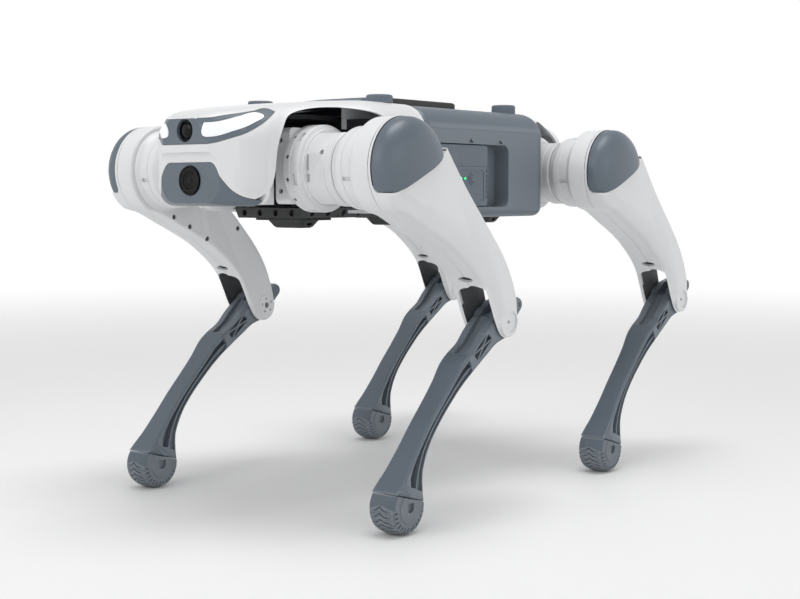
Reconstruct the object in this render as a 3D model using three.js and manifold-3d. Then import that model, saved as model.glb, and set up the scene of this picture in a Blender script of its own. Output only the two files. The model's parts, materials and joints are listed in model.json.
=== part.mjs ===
// A four-legged walking robot, standing, in millimetres.
// +X is forward, +Y is the robot's left and +Z is up. The floor is z = 0.
import * as THREE from "three";
import { mergeVertices } from "three/addons/utils/BufferGeometryUtils.js";
import Module from "manifold-3d";

// ---------------------------------------------------------------- driving dimensions

const HIP_X = 174.5; // hip pitch axes, ahead of and behind the middle of the trunk
const HIP_Z = 316.5; // height of every hip axis
const ROLL_Y = 62; // hip roll axes run along X at this distance from the middle
const LEG_Y = 157; // middle plane of a leg
const THIGH_LENGTH = 200; // hip pitch axis to knee axis
const SHANK_LENGTH = 210; // knee axis to centre of the round foot
const THIGH_LEAN = 45; // degrees, knee behind the hip
const KNEE_BEND = 89; // degrees, shank forward of the thigh
const MODEL_SHIFT_X = 36.44; // puts the middle of the overall length at x = 0

const GAP = 0.4; // clearance between neighbouring pieces
const WALL = 3; // moulded shell thickness

// hip link, from the trunk outwards
const LINK_BLOCK_Y = 40;
const DISC_Y = [56, 74];
const DISC_R = 39;
const MOTOR_Y = 107;
const MOTOR_R = 33.5;
const FLANGE_X = [134, 146];
const FLANGE_R = 30;

// thigh
const DRUM_R = 36.5;
const THIGH_Y = [136.5, 178];
const SEAM_Y = 157;
const ARM = 5; // thickness of each knee fork arm
const HIP_END_R = 44;
const CAP_R = 43.5;
const CAP_Y = [160.4, 185];
const FORK_S = 146; // the knee fork opens here, measured down the thigh

// knee and its push rod: a parallelogram with these two equal cranks
const CRANK_R = 27;
const CRANK_ANGLE = -77.3; // degrees from the thigh line, at rest
const ROD_Y = [151.5, 159.5];
const CRANK_Y = [142.3, 150.8];
const ROD_HALF = 2.8;
const EYE_R = 6.2;
const PIN_R = 3;
const KNEE_AXLE_R = 5;

// shank and foot
const SHANK_HALF = 14;
const FOOT_R = 24;
const FOOT_HALF = 15;
const FOOT_SEAM = [
  [22.7, 212.3],
  [-14, 193.4],
]; // front and rear ends of the line under which the sole is moulded on

// trunk
const MID_X = [-123, 78];
const MID_HALF = 114;
const MID_Z = [271, 378];
const BULKHEAD_X = [129, 133];
const DECK_Z = [361, 365];
const BATTERY = { x: [-21.2, 69.2], y: [-76, 113], z: [281.6, 341.4] };
const RECESS = { x: [-56, 70], z: [281, 342], floor: 97 };
const BUTTON = { x: 5, z: 308.4, r: 3.6 };
const BUMPER_TOP = 385.6;
const PAD_BOTTOM = 262; // the trunk rests on its pads when the robot lies down
const CHIN_X = 270.5; // face of the chin, set back from the brow

// ---------------------------------------------------------------- materials

const finish = (color, roughness, metalness = 0) =>
  new THREE.MeshStandardMaterial({ color, roughness, metalness });

const WHITE = finish(0xe3e5e8, 0.42);
const GREY = finish(0x6f7984, 0.48);
const DARK = finish(0x1b1d20, 0.55);
const RUBBER = finish(0x66707b, 0.75);
const LENS = finish(0x050506, 0.08);
const LIGHT = finish(0xf8fafc, 0.25);
const METAL = finish(0x9aa0a6, 0.35, 0.9);

// ---------------------------------------------------------------- solid helpers

const wasm = await Module();
wasm.setup();

// A closed three.js geometry as a solid that can be joined and cut.
function solid(geometry) {
  const bare = geometry.index ? geometry.toNonIndexed() : geometry.clone();
  bare.deleteAttribute("normal");
  bare.deleteAttribute("uv");
  const merged = mergeVertices(bare, 1e-3);
  return new wasm.Manifold(
    new wasm.Mesh({
      numProp: 3,
      vertProperties: merged.attributes.position.array,
      triVerts: new Uint32Array(merged.index.array),
    }),
  );
}

const join = (...solids) => solids.reduce((a, b) => a.add(b));
const cut = (body, ...tools) => tools.reduce((a, b) => a.subtract(b), body);

// A named mesh made from a solid.
function piece(name, body, material) {
  const made = body.getMesh();
  const geometry = new THREE.BufferGeometry();
  geometry.setAttribute("position", new THREE.BufferAttribute(made.vertProperties, 3));
  geometry.setIndex(new THREE.BufferAttribute(made.triVerts, 1));
  geometry.computeVertexNormals();
  const mesh = new THREE.Mesh(geometry, material);
  mesh.name = name;
  return mesh;
}

function box([x0, x1], [y0, y1], [z0, z1]) {
  const geometry = new THREE.BoxGeometry(x1 - x0, y1 - y0, z1 - z0);
  geometry.translate((x0 + x1) / 2, (y0 + y1) / 2, (z0 + z1) / 2);
  return solid(geometry);
}

// A cylinder along Y, from y0 to y1, about the point (x, z).
function rodY(radius, [y0, y1], x, z, sides = 20) {
  const geometry = new THREE.CylinderGeometry(radius, radius, y1 - y0, sides);
  geometry.translate(x, (y0 + y1) / 2, z);
  return solid(geometry);
}

// A cylinder along X, from x0 to x1, about the point (y, z).
function rodX(radius, [x0, x1], y, z, sides = 20) {
  const geometry = new THREE.CylinderGeometry(radius, radius, x1 - x0, sides);
  geometry.rotateZ(Math.PI / 2);
  geometry.translate((x0 + x1) / 2, y, z);
  return solid(geometry);
}

// A solid of revolution about the Y axis through (x, z), from [radius, y] points.
function turnY(profile, x, z, sides = 28) {
  const points = profile.map(([r, y]) => new THREE.Vector2(r, y));
  const geometry = new THREE.LatheGeometry(points, sides);
  geometry.translate(x, 0, z);
  return solid(geometry);
}

// An outline in the XZ plane, extruded along Y from y0 to y1.
function slab(outline, [y0, y1], curveSegments = 8) {
  const shape = Array.isArray(outline) ? polygon(outline) : outline;
  const depth = y1 - y0;
  const geometry = new THREE.ExtrudeGeometry(shape, { depth, curveSegments, bevelEnabled: false });
  geometry.rotateX(Math.PI / 2);
  geometry.translate(0, y1, 0);
  return solid(geometry);
}

// An outline in the YZ plane, extruded along X from x0 to x1.
function slice(outline, [x0, x1], curveSegments = 8) {
  const shape = Array.isArray(outline) ? polygon(outline) : outline;
  const depth = x1 - x0;
  const geometry = new THREE.ExtrudeGeometry(shape, { depth, curveSegments, bevelEnabled: false });
  geometry.rotateX(Math.PI / 2);
  geometry.rotateZ(Math.PI / 2);
  geometry.translate(x0, 0, 0);
  return solid(geometry);
}

const polygon = (points) => new THREE.Shape(points.map(([a, b]) => new THREE.Vector2(a, b)));

const rad = THREE.MathUtils.degToRad;

// One rounded section of the trunk across X, with its own radius above and below.
function section({ x, half, low, high, top = 28, bottom = 9 }, inset = 0) {
  const corners = [
    { y: half, z: high, r: top, turn: 0, sy: 1, sz: 1 },
    { y: -half, z: high, r: top, turn: 90, sy: -1, sz: 1 },
    { y: -half, z: low, r: bottom, turn: 180, sy: -1, sz: -1 },
    { y: half, z: low, r: bottom, turn: 270, sy: 1, sz: -1 },
  ];
  const points = [];
  for (const corner of corners) {
    const r = Math.max(corner.r - inset, 1);
    const y = corner.y - corner.sy * (r + inset);
    const z = corner.z - corner.sz * (r + inset);
    for (let step = 0; step <= 3; step += 1) {
      const angle = rad(corner.turn + step * 30);
      points.push(new THREE.Vector3(x, y + r * Math.cos(angle), z + r * Math.sin(angle)));
    }
  }
  return points;
}

// A closed skin over rings of equal length, each ring further along +X than the last.
function loft(rings) {
  const size = rings[0].length;
  const positions = rings.flat().flatMap((p) => [p.x, p.y, p.z]);
  const middle = (ring) =>
    ring.reduce((sum, p) => sum.add(p), new THREE.Vector3()).divideScalar(size);
  const first = rings.length * size;
  for (const ring of [rings[0], rings[rings.length - 1]]) positions.push(...middle(ring));
  const index = [];
  for (let row = 0; row < rings.length - 1; row += 1) {
    for (let i = 0; i < size; i += 1) {
      const a = row * size + i;
      const b = row * size + ((i + 1) % size);
      index.push(a, b, a + size, b, b + size, a + size);
    }
  }
  const last = (rings.length - 1) * size;
  for (let i = 0; i < size; i += 1) {
    const next = (i + 1) % size;
    index.push(first, next, i, first + 1, last + i, last + next);
  }
  const geometry = new THREE.BufferGeometry();
  geometry.setAttribute("position", new THREE.Float32BufferAttribute(positions, 3));
  geometry.setIndex(index);
  return solid(geometry);
}

// ---------------------------------------------------------------- trunk outline

// Head and front deck, from the grey middle housing to the nose.
const FRONT = [
  { x: 78.4, half: 112, low: 276, high: 379 },
  { x: 130, half: 106, low: 276, high: 380 },
  { x: 175, half: 87, low: 276, high: 377 },
  { x: 215, half: 69, low: 280, high: 373, bottom: 12 },
  { x: 238, half: 65, low: 283, high: 370, bottom: 16 },
  { x: 256, half: 56, low: 284, high: 367.5, bottom: 18 },
  { x: 266, half: 42, low: 285, high: 365.5, top: 22, bottom: 18 },
  { x: 272, half: 34, low: 287, high: 363, top: 16, bottom: 16 },
  { x: 275, half: 29, low: 290, high: 360, top: 12, bottom: 13 },
];

// Tail, drawn forwards and then turned round.
const TAIL = [
  { x: 123.4, half: 106, low: 276, high: 378.5 },
  { x: 175, half: 87, low: 278, high: 376.5 },
  { x: 215, half: 69, low: 280, high: 373 },
  { x: 238, half: 64, low: 284, high: 369 },
  { x: 250, half: 56, low: 290, high: 362, top: 20 },
];

// The hips come out under this arch on each side of the shells.
const ARCH = [
  [122, 240],
  [122, 352],
  [125, 360],
  [132, 365],
  [144, 368.5],
  [171, 371],
  [200, 367],
  [214, 361],
  [224, 349],
  [229, 337],
  [235, 304],
  [240, 296],
  [250, 288],
  [252, 240],
];
const ARCH_Y = [-130, 130];
// The belly tray runs through this opening in the floor of the housing and the front shell.
const bellyGap = (x0, x1) => box([x0 - 5, x1 + 5], [-54, 54], [260, 284]);

function skin(stations, inset, extend) {
  const rings = stations.map((station) => section(station, inset));
  const last = rings.length - 1;
  for (const point of rings[0]) point.x -= extend;
  for (const point of rings[last]) point.x -= inset;
  return loft(rings);
}

// The chin stands back from the brow by this much.
const chinUndercut = (x) =>
  slab(
    [
      [x, 240],
      [x, 323],
      [x + 5, 331],
      [300, 331],
      [300, 240],
    ],
    ARCH_Y,
  );

const headOuter = cut(skin(FRONT, 0, 0), chinUndercut(CHIN_X));
const headHollow = cut(skin(FRONT, WALL, 1), chinUndercut(CHIN_X - WALL));
const headSkin = cut(headOuter, headHollow);

// Side outlines of the panels and lights let into the head.
const FACE_BAND = [
  [290, 337],
  [276, 337],
  [262, 343],
  [246, 352],
  [233, 359.5],
  [222, 365.5],
  [225, 367.8],
  [240, 365.3],
  [262, 361.2],
  [273, 358.8],
  [290, 358.8],
];
// The chin panel seen from the front, as [y, z] down its left edge.
const CHIN_EDGE = [
  [29, 321],
  [38, 306],
  [45, 296],
  [54, 291],
  [70, 288.5],
  [70, 250],
];
const CHIN_BACK_X = 242;
const LIGHT_BAND = [
  [290, 343],
  [273, 343],
  [262, 348],
  [247, 355.5],
  [236, 362],
  [239, 364.2],
  [255, 360.5],
  [271, 355.5],
  [290, 355.5],
];

const chinPrism = (extra) => {
  const left = CHIN_EDGE.map(([y, z]) => [y + extra, z + extra]);
  const right = left.map(([y, z]) => [-y, z]).reverse();
  return slice([...right, ...left], [CHIN_BACK_X - extra, 300]);
};

// The same outline, moved out from its own middle line so that a piece set in it has a gap.
function grown(outline, amount) {
  const centre = outline.reduce(([a, b], [x, z]) => [a + x, b + z], [0, 0]);
  const [cx, cz] = centre.map((sum) => sum / outline.length);
  return outline.map(([x, z]) => {
    const reach = Math.hypot(x - cx, z - cz);
    const factor = 1 + (2 * amount) / reach;
    return [cx + (x - cx) * factor, cz + (z - cz) * factor];
  });
}

const UPPER_LENS = { r: 9.5, z: 348.7, x: [263, 276] };
const LOWER_LENS = { r: 12.8, z: 305.7, x: [260, 272] };
const LIGHT_INNER_Y = 17;

const lens = ({ r, z, x }, extra = 0) => rodX(r + extra, [x[0] - extra, x[1] + 2 * extra], 0, z, 24);
const lightSide = (side, extra = 0) => {
  const near = LIGHT_INNER_Y - extra;
  return side > 0 ? [near, 80] : [-80, -near];
};

function headlight(name, side) {
  const band = cut(headOuter, skin(FRONT, WALL - 1, 1)).intersect(
    slab(LIGHT_BAND, lightSide(side)),
  );
  return piece(name, band, LIGHT);
}

function facePanel() {
  const band = headSkin.intersect(slab(FACE_BAND, ARCH_Y));
  const windows = [1, -1].map((side) => slab(grown(LIGHT_BAND, GAP), lightSide(side, GAP)));
  const backs = skin(FRONT, WALL - 1 + GAP, 1);
  const openings = windows.map((window) => cut(window, backs));
  return piece("face_panel", cut(band, ...openings, lens(UPPER_LENS, GAP)), GREY);
}

function chinPanel() {
  const panel = headSkin.intersect(chinPrism(0));
  return piece("chin_panel", cut(panel, lens(LOWER_LENS, GAP)), GREY);
}

function frontShell() {
  const backWall = headOuter.intersect(box([238, 241], ARCH_Y, [285, 380]));
  const top = cut(headSkin, slab(ARCH, ARCH_Y), bellyGap(MID_X[1], ARCH[0][0]));
  const openings = [
    slab(grown(FACE_BAND, GAP), ARCH_Y),
    chinPrism(GAP),
    box([230, 250], [-20, 20], [300, 330]),
  ];
  return piece("front_shell", cut(join(top, backWall), ...openings), WHITE);
}

function rearShell() {
  const outer = skin(TAIL, 0, 0);
  const shell = cut(outer, skin(TAIL, WALL, 1), slab(ARCH, ARCH_Y));
  const mesh = piece("rear_shell", shell, WHITE);
  mesh.rotation.z = Math.PI;
  return mesh;
}

// ---------------------------------------------------------------- trunk pieces

function midHousing() {
  const at = (x) => ({ x, half: MID_HALF, low: MID_Z[0], high: MID_Z[1] });
  const outer = skin([at(MID_X[0]), at(MID_X[1])], 0, 0);
  const hollow = loft([section(at(MID_X[0] - 1), WALL), section(at(MID_X[1] + 1), WALL)]);
  const { x, z, floor } = RECESS;
  const tub = box([x[0] - WALL, x[1] + WALL], [floor - WALL, MID_HALF - 2], [z[0] - WALL, z[1] + WALL]);
  const recess = box(x, [floor, MID_HALF + 5], z);
  const slot = box([BATTERY.x[0] - GAP, x[1]], [floor - 10, floor + 5], z);
  const farSlot = box([-10, 58], [-MID_HALF - 5, -MID_HALF + 10], [300, 304]);
  const body = cut(join(cut(outer, hollow), tub), recess, slot, bellyGap(...MID_X), farSlot);
  return piece("mid_housing", body, GREY);
}

// Central keel, hip bulkheads and deck: the piece that everything is screwed to.
function chassisFrame() {
  const deck = box([-214, 214], [-50, 50], DECK_Z);
  const parts = [deck];
  for (const end of [1, -1]) {
    const span = (a, b) => (end > 0 ? [a, b] : [-b, -a]);
    const keel = box(span(BULKHEAD_X[1] - 1, 221), [-12, 12], [284, DECK_Z[0] + 1]);
    const windows = [0, 1, 2].map((i) => box(span(146 + i * 27, 164 + i * 27), [-20, 20], [300, 345]));
    const bulkhead = box(span(...BULKHEAD_X), [-100, 100], [284.5, DECK_Z[0] + 1]);
    const bores = [1, -1].map((side) => rodX(15, span(120, 140), side * ROLL_Y, HIP_Z));
    parts.push(cut(keel, ...windows), cut(bulkhead, ...bores));
  }
  const vents = [];
  for (let x = -100; x <= 100; x += 40) vents.push(box([x - 12, x + 12], [-30, 30], [355, 370]));
  return piece("chassis_frame", cut(join(...parts), ...vents), DARK);
}

function bellyTray() {
  const outline = [
    [-38, 271.6],
    [38, 271.6],
    [43, 281.2],
    [-43, 281.2],
  ];
  return piece("belly_tray", slice(outline, [-215, 173]), DARK);
}

// A rest pad: a tapered foot on a thin plate under the belly.
function restPad(name, x0, x1) {
  const top = 271.3;
  const foot = [
    [x0 - 6, top],
    [x0, PAD_BOTTOM],
    [x1, PAD_BOTTOM],
    [x1 + 6, top],
  ];
  const plate = box([x0 - 12, x1 + 12], [-30, 30], [269.3, top]);
  return piece(name, join(plate, slab(foot, [-18, 18])), DARK);
}

function topPlate() {
  const outline = [
    [-75, 380.6],
    [-68, 388],
    [50, 388],
    [80, 385.5],
    [88, 380.6],
  ];
  return piece("top_plate", slab(outline, [-38, 38]), DARK);
}

function bumper(name, x, y, z0) {
  const outline = new THREE.Shape();
  outline.absellipse(0, 0, 13, 12, 0, 2 * Math.PI);
  const geometry = new THREE.ExtrudeGeometry(outline, {
    depth: BUMPER_TOP - z0,
    curveSegments: 8,
    bevelEnabled: false,
  });
  geometry.translate(x, y, z0);
  return piece(name, solid(geometry), RUBBER);
}

function rollMotor(name, end, side) {
  const span = (a, b) => (end > 0 ? [a, b] : [-b, -a]);
  const can = rodX(34, span(84, BULKHEAD_X[0] - GAP), side * ROLL_Y, HIP_Z);
  const shaft = rodX(14, span(120, FLANGE_X[0] - GAP), side * ROLL_Y, HIP_Z);
  return piece(name, join(can, shaft), METAL);
}

function mainComputer() {
  const board = box([-70, 70], [-80, 80], [346, 349]);
  const cooler = box([-40, 40], [-50, 50], [348, 356]);
  const plugs = [-60, -30, 30, 60].map((y) => box([52, 68], [y - 8, y + 8], [348, 358]));
  return piece("main_computer", join(board, cooler, ...plugs), DARK);
}

function batteryPack() {
  const { x, y, z } = BATTERY;
  const { x: bx, z: bz, r } = BUTTON;
  const pocket = rodY(r + GAP, [y[1] - 7, y[1] + 1], bx, bz, 24);
  const split = box([x[0] - 1, x[1] + 1], [y[1] - 0.6, y[1] + 1], [320, 321]);
  return piece("battery_pack", cut(box(x, y, z), pocket, split), GREY);
}

function powerButton() {
  const y = BATTERY.y[1];
  return piece("power_button", rodY(BUTTON.r, [y - 4.5, y + 1.2], BUTTON.x, BUTTON.z, 24), GREY);
}

// ---------------------------------------------------------------- leg outlines

// Leg outlines are drawn as [t, s]: t forwards across the limb, s down along it.
const down = (points) => points.map(([t, s]) => [t, -s]);

// The thigh seen from the side, round the hip and round the knee.
function thighOutline(inset = 0) {
  const front = [
    [35.5, 22],
    [24.5, 51],
    [16, 74],
    [9.5, 94],
    [5.5, 114],
    [3, 136],
    [4, 152],
    [9, 168],
    [14.5, 184],
  ];
  const rear = [
    [-19.5, 190],
    [-27, 179],
    [-32, 163],
    [-35, 145],
    [-36.2, 120],
    [-36.5, 89],
    [-37.2, 60],
    [-39.5, 32],
  ];
  const shape = new THREE.Shape();
  const arc = (t, s, r, from, to) => {
    const steps = Math.max(4, Math.round(Math.abs(to - from) / 18));
    for (let i = 0; i <= steps; i += 1) {
      const a = rad(from + ((to - from) * i) / steps);
      points.push([t + (r - inset) * Math.cos(a), s - (r - inset) * Math.sin(a)]);
    }
  };
  const points = [];
  arc(0, 0, HIP_END_R, 200, -12);
  for (const [t, s] of front) points.push([t - inset, s]);
  arc(1.5, 199, 16, 0, -150);
  for (const [t, s] of rear) points.push([t + inset, s]);
  shape.setFromPoints(down(points).map(([a, b]) => new THREE.Vector2(a, b)));
  return shape;
}

// The cap covers the hip end above a slanting edge that rises to the rear.
const CAP_EDGE = [
  [60, -34],
  [50, -22],
  [43, -13.5],
  [38, -8.5],
  [32, -5],
  [22, -1.8],
  [6, 3.7],
  [-10, 9.8],
  [-21, 13.3],
  [-33, 15.5],
  [-50, 14],
];

const SHANK_FRONT = [
  [8, -11],
  [14, 6],
  [17, 25],
  [17.5, 42],
  [22, 58],
  [24.5, 72],
  [23.8, 92],
  [24, 112],
  [24.5, 140],
  [23.2, 168],
  [22, 192],
  FOOT_SEAM[0],
];
const SHANK_REAR = [
  FOOT_SEAM[1],
  [-6.4, 186],
  [2.8, 175],
  [8, 161],
  [11, 147],
  [11.6, 118],
  [8.5, 76],
  [4, 55],
  [0, 40],
  [-4, 25],
  [-13, 9],
];

// ---------------------------------------------------------------- leg pieces

const HIP_ORIGIN = { x: 0, z: 0 };

// Hip link: roll flange, block, screw ring and pitch motor case, seen as the front left one.
// Its own frame has the hip pitch axis along Y through its origin.
function hipLink(name) {
  const flange = rodX(FLANGE_R, FLANGE_X.map((x) => x - HIP_X), ROLL_Y, 0);
  const bridge = box([-30, 5], [44, 84], [-26, 26]);
  const block = box([-30, 30], [LINK_BLOCK_Y, DISC_Y[0] + 1], [-31.5, 36]);
  const disc = rodY(DISC_R, DISC_Y, 0, 0, 32);
  const motor = rodY(MOTOR_R, [DISC_Y[1] - 1, MOTOR_Y], 0, 0, 32);
  const flatTop = box([-60, 60], [DISC_Y[1] + 3, MOTOR_Y + 1], [31, 60]);
  const screws = [];
  for (const degrees of [-90, -45, 0, 45, 90]) {
    const x = 36.2 * Math.cos(rad(degrees));
    const z = 36.2 * Math.sin(rad(degrees));
    screws.push(rodY(1.6, [DISC_Y[1] - 4, DISC_Y[1] + 1], x, z, 6));
  }
  return piece(name, cut(join(flange, bridge, block, disc, cut(motor, flatTop)), ...screws), WHITE);
}

const thighHollow = () => slab(thighOutline(WALL), [THIGH_Y[0] + ARM, THIGH_Y[1] - ARM]);
const forkGap = () => {
  const open = [
    [-22, FORK_S],
    [70, FORK_S],
    [70, 240],
    [-70, 240],
    [-70, 158],
    [-22, 158],
  ];
  return slab(down(open), [THIGH_Y[0] + ARM, THIGH_Y[1] - ARM]);
};
const kneeBore = () => rodY(KNEE_AXLE_R + GAP, [130, 190], 0, -THIGH_LENGTH, 16);

// Inner half of the thigh with the turning drum that sits against the pitch motor.
function thighFrame(name) {
  const drum = turnY(
    [
      [0, MOTOR_Y + GAP],
      [MOTOR_R - 1, MOTOR_Y + GAP],
      [DRUM_R, MOTOR_Y + 8],
      [DRUM_R, THIGH_Y[0] + 1],
      [0, THIGH_Y[0] + 1],
    ],
    HIP_ORIGIN.x,
    HIP_ORIGIN.z,
    28,
  );
  const half = slab(thighOutline(), [THIGH_Y[0], SEAM_Y - GAP / 2]);
  return piece(name, cut(join(half, drum), thighHollow(), forkGap(), kneeBore()), WHITE);
}

// Everything above the cap's edge, with that edge moved down the thigh by drop.
const capOutline = (drop) => [
  [80, -80],
  [80, drop - 60],
  ...CAP_EDGE.map(([t, s]) => [t, s + drop]),
  [-80, drop + 10],
  [-80, -80],
];
const capRegion = (outline) => slab(outline, [CAP_Y[0] - GAP, 200]);

function thighCover(name) {
  const half = slab(thighOutline(), [SEAM_Y + GAP / 2, THIGH_Y[1]]);
  const seat = capOutline(2 * GAP);
  const shell = cut(half, capRegion(down(seat)), thighHollow());
  const dimple = rodY(9.8, [THIGH_Y[1] - 1.5, THIGH_Y[1] + 1], 0, -THIGH_LENGTH, 20);
  return piece(name, cut(shell, forkGap(), kneeBore(), dimple), WHITE);
}

function thighCap(name) {
  const dome = turnY(
    [
      [0, CAP_Y[0]],
      [CAP_R, CAP_Y[0]],
      [CAP_R, 168],
      [CAP_R - 2, 173],
      [CAP_R - 6, 177.5],
      [CAP_R - 13, 181.5],
      [CAP_R - 24, 184.2],
      [0, CAP_Y[1]],
    ],
    HIP_ORIGIN.x,
    HIP_ORIGIN.z,
    28,
  );
  const keep = capOutline(0);
  const hollow = rodY(CAP_R - 8, [150, 172], 0, 0, 20);
  return piece(name, cut(dome.intersect(capRegion(down(keep))), hollow), GREY);
}

const crankPin = [
  CRANK_R * Math.sin(rad(CRANK_ANGLE)),
  CRANK_R * Math.cos(rad(CRANK_ANGLE)),
];

// Crank on the hip axis inside the thigh, driven by the knee motor.
function kneeCrank(name) {
  const hub = rodY(11, CRANK_Y, 0, 0, 16);
  const [t, s] = crankPin;
  const eye = rodY(7, CRANK_Y, t, -s, 16);
  const arm = new THREE.BoxGeometry(12, CRANK_Y[1] - CRANK_Y[0], CRANK_R);
  arm.rotateY(-rad(CRANK_ANGLE));
  arm.translate(t / 2, (CRANK_Y[0] + CRANK_Y[1]) / 2, -s / 2);
  const pin = rodY(PIN_R, [CRANK_Y[1] - 1, ROD_Y[1]], t, -s, 12);
  return piece(name, join(hub, eye, solid(arm), pin), METAL);
}

// Push rod from the crank to the ear of the shank, parallel to the thigh.
function pushRod(name) {
  const [t, s] = crankPin;
  const eyes = [0, THIGH_LENGTH].map((along) => rodY(EYE_R, ROD_Y, t, -s - along, 16));
  const bores = [0, THIGH_LENGTH].map((along) => rodY(PIN_R + GAP, [140, 170], t, -s - along, 12));
  const bar = box([t - ROD_HALF, t + ROD_HALF], ROD_Y, [-s - THIGH_LENGTH, -s]);
  return piece(name, cut(join(bar, ...eyes), ...bores), METAL);
}

// Angle of the shank's ear from the shank line, and the ear's pin in the shank's own frame.
const EAR_ANGLE = CRANK_ANGLE - KNEE_BEND;
const earPin = [CRANK_R * Math.sin(rad(EAR_ANGLE)), CRANK_R * Math.cos(rad(EAR_ANGLE))];

function shank(name) {
  const across = [LEG_Y - SHANK_HALF, LEG_Y + SHANK_HALF];
  const [pt, ps] = earPin;
  const blade = slab(down([...SHANK_FRONT, ...SHANK_REAR]), across);
  const boss = rodY(9, across, pt * 1.05, -ps * 1.05, 16);
  const neck = slab(down([[pt - 9, ps - 1], [5, -9], [-10, 5], [-14, -14]]), across);
  const hub = rodY(13, across, 0, 0, 20);
  const rodWay = [
    [-20, -42],
    [-9.3, -24.1],
    [36, 38],
    [60, 20],
    [40, -70],
    [-30, -70],
  ];
  const inside = [ROD_Y[0] - 0.7, ROD_Y[1] + 0.7];
  const channel = slab(down(rodWay), inside);
  const eyeRoom = rodY(EYE_R + 1, inside, pt, -ps, 16);
  const body = cut(join(blade, boss, neck, hub), channel, eyeRoom);
  const pin = rodY(PIN_R, [across[0] + 2, across[1] - 2], pt, -ps, 12);
  const axle = rodY(KNEE_AXLE_R, [THIGH_Y[0] + 1, THIGH_Y[1] - 2], 0, 0, 16);
  const flute = [
    [9, 50],
    [15, 50],
    [17, 90],
    [20, 130],
    [16, 168],
    [5, 184],
    [11, 168],
    [14, 130],
    [12, 90],
  ];
  const flutes = [
    slab(down(flute), [across[0] - 1, across[0] + 5]),
    slab(down(flute), [across[1] - 5, across[1] + 1]),
  ];
  return piece(name, join(cut(body, ...flutes), pin, axle), GREY);
}

function foot(name) {
  const across = [LEG_Y - FOOT_HALF, LEG_Y + FOOT_HALF];
  // a crowned tread, turned so that one of its many corners points straight down
  const crown = [
    [0, -FOOT_HALF],
    [FOOT_R - 3.5, -FOOT_HALF],
    [FOOT_R - 1, -9],
    [FOOT_R, -3],
    [FOOT_R, 3],
    [FOOT_R - 1, 9],
    [FOOT_R - 3.5, FOOT_HALF],
    [0, FOOT_HALF],
  ];
  const round = new THREE.LatheGeometry(crown.map(([r, y]) => new THREE.Vector2(r, y)), 36);
  round.rotateY(rad(KNEE_BEND - THIGH_LEAN));
  round.translate(0, LEG_Y, -SHANK_LENGTH);
  const tread = solid(round);
  // everything above the seam, which runs on past both of its ends
  const [front, rear] = FOOT_SEAM;
  const run = [front[0] - rear[0], front[1] - rear[1]];
  const top = slab(
    down([
      [front[0] + run[0], front[1] + run[1] + GAP],
      [rear[0] - run[0], rear[1] - run[1] + GAP],
      [rear[0] - run[0], 100],
      [front[0] + run[0], 100],
    ]),
    [across[0] - 5, across[1] + 5],
  );
  return piece(name, cut(tread, top), RUBBER);
}

// ---------------------------------------------------------------- assembly

const robot = new THREE.Group();
robot.position.x = MODEL_SHIFT_X;

robot.add(
  chassisFrame(),
  bellyTray(),
  restPad("front_rest_pad", 130, 146),
  restPad("middle_rest_pad", -16, 0),
  restPad("rear_rest_pad", -175, -159),
  frontShell(),
  facePanel(),
  chinPanel(),
  piece("upper_camera_lens", lens(UPPER_LENS), LENS),
  piece("lower_camera_lens", lens(LOWER_LENS), LENS),
  headlight("headlight_left", 1),
  headlight("headlight_right", -1),
  midHousing(),
  topPlate(),
  rearShell(),
  mainComputer(),
  batteryPack(),
  powerButton(),
);

const ENDS = { front: 1, rear: -1 };
const SIDES = { left: 1, right: -1 };

for (const [endName, end] of Object.entries(ENDS)) {
  for (const [sideName, side] of Object.entries(SIDES)) {
    const label = `${endName}_${sideName}`;
    const deck = end > 0 ? 380.2 : 378.4;
    robot.add(bumper(`${label}_top_bumper`, end * 102.5, side * 76, deck));
    robot.add(rollMotor(`${label}_roll_motor`, end, side));

    // a right leg is the mirror image of a left one
    const leg = new THREE.Group();
    leg.position.set(end * HIP_X, 0, HIP_Z);
    leg.scale.y = side;
    robot.add(leg);

    const link = new THREE.Group();
    link.scale.x = end;
    link.add(hipLink(`${label}_hip_link`));
    leg.add(link);

    const thigh = new THREE.Group();
    thigh.rotation.y = rad(THIGH_LEAN);
    thigh.add(
      thighFrame(`${label}_thigh_frame`),
      thighCover(`${label}_thigh_cover`),
      thighCap(`${label}_thigh_cap`),
      kneeCrank(`${label}_knee_crank`),
      pushRod(`${label}_push_rod`),
    );
    leg.add(thigh);

    const lower = new THREE.Group();
    lower.position.z = -THIGH_LENGTH;
    lower.rotation.y = -rad(KNEE_BEND);
    lower.add(shank(`${label}_shank`), foot(`${label}_foot`));
    thigh.add(lower);
  }
}

export default robot;
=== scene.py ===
"""A four-legged walking robot, standing on a pale studio floor.

Shapes are drawn in millimetres with x = 0 midway between the hips, then placed in the metre frame of
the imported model. A leg is drawn once, as the front left one, and mirrored for the other three.
"""

import json
from contextlib import contextmanager
from math import cos, hypot, pi, radians, sin

import bmesh
import bpy
from mathutils import Matrix, Vector

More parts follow.
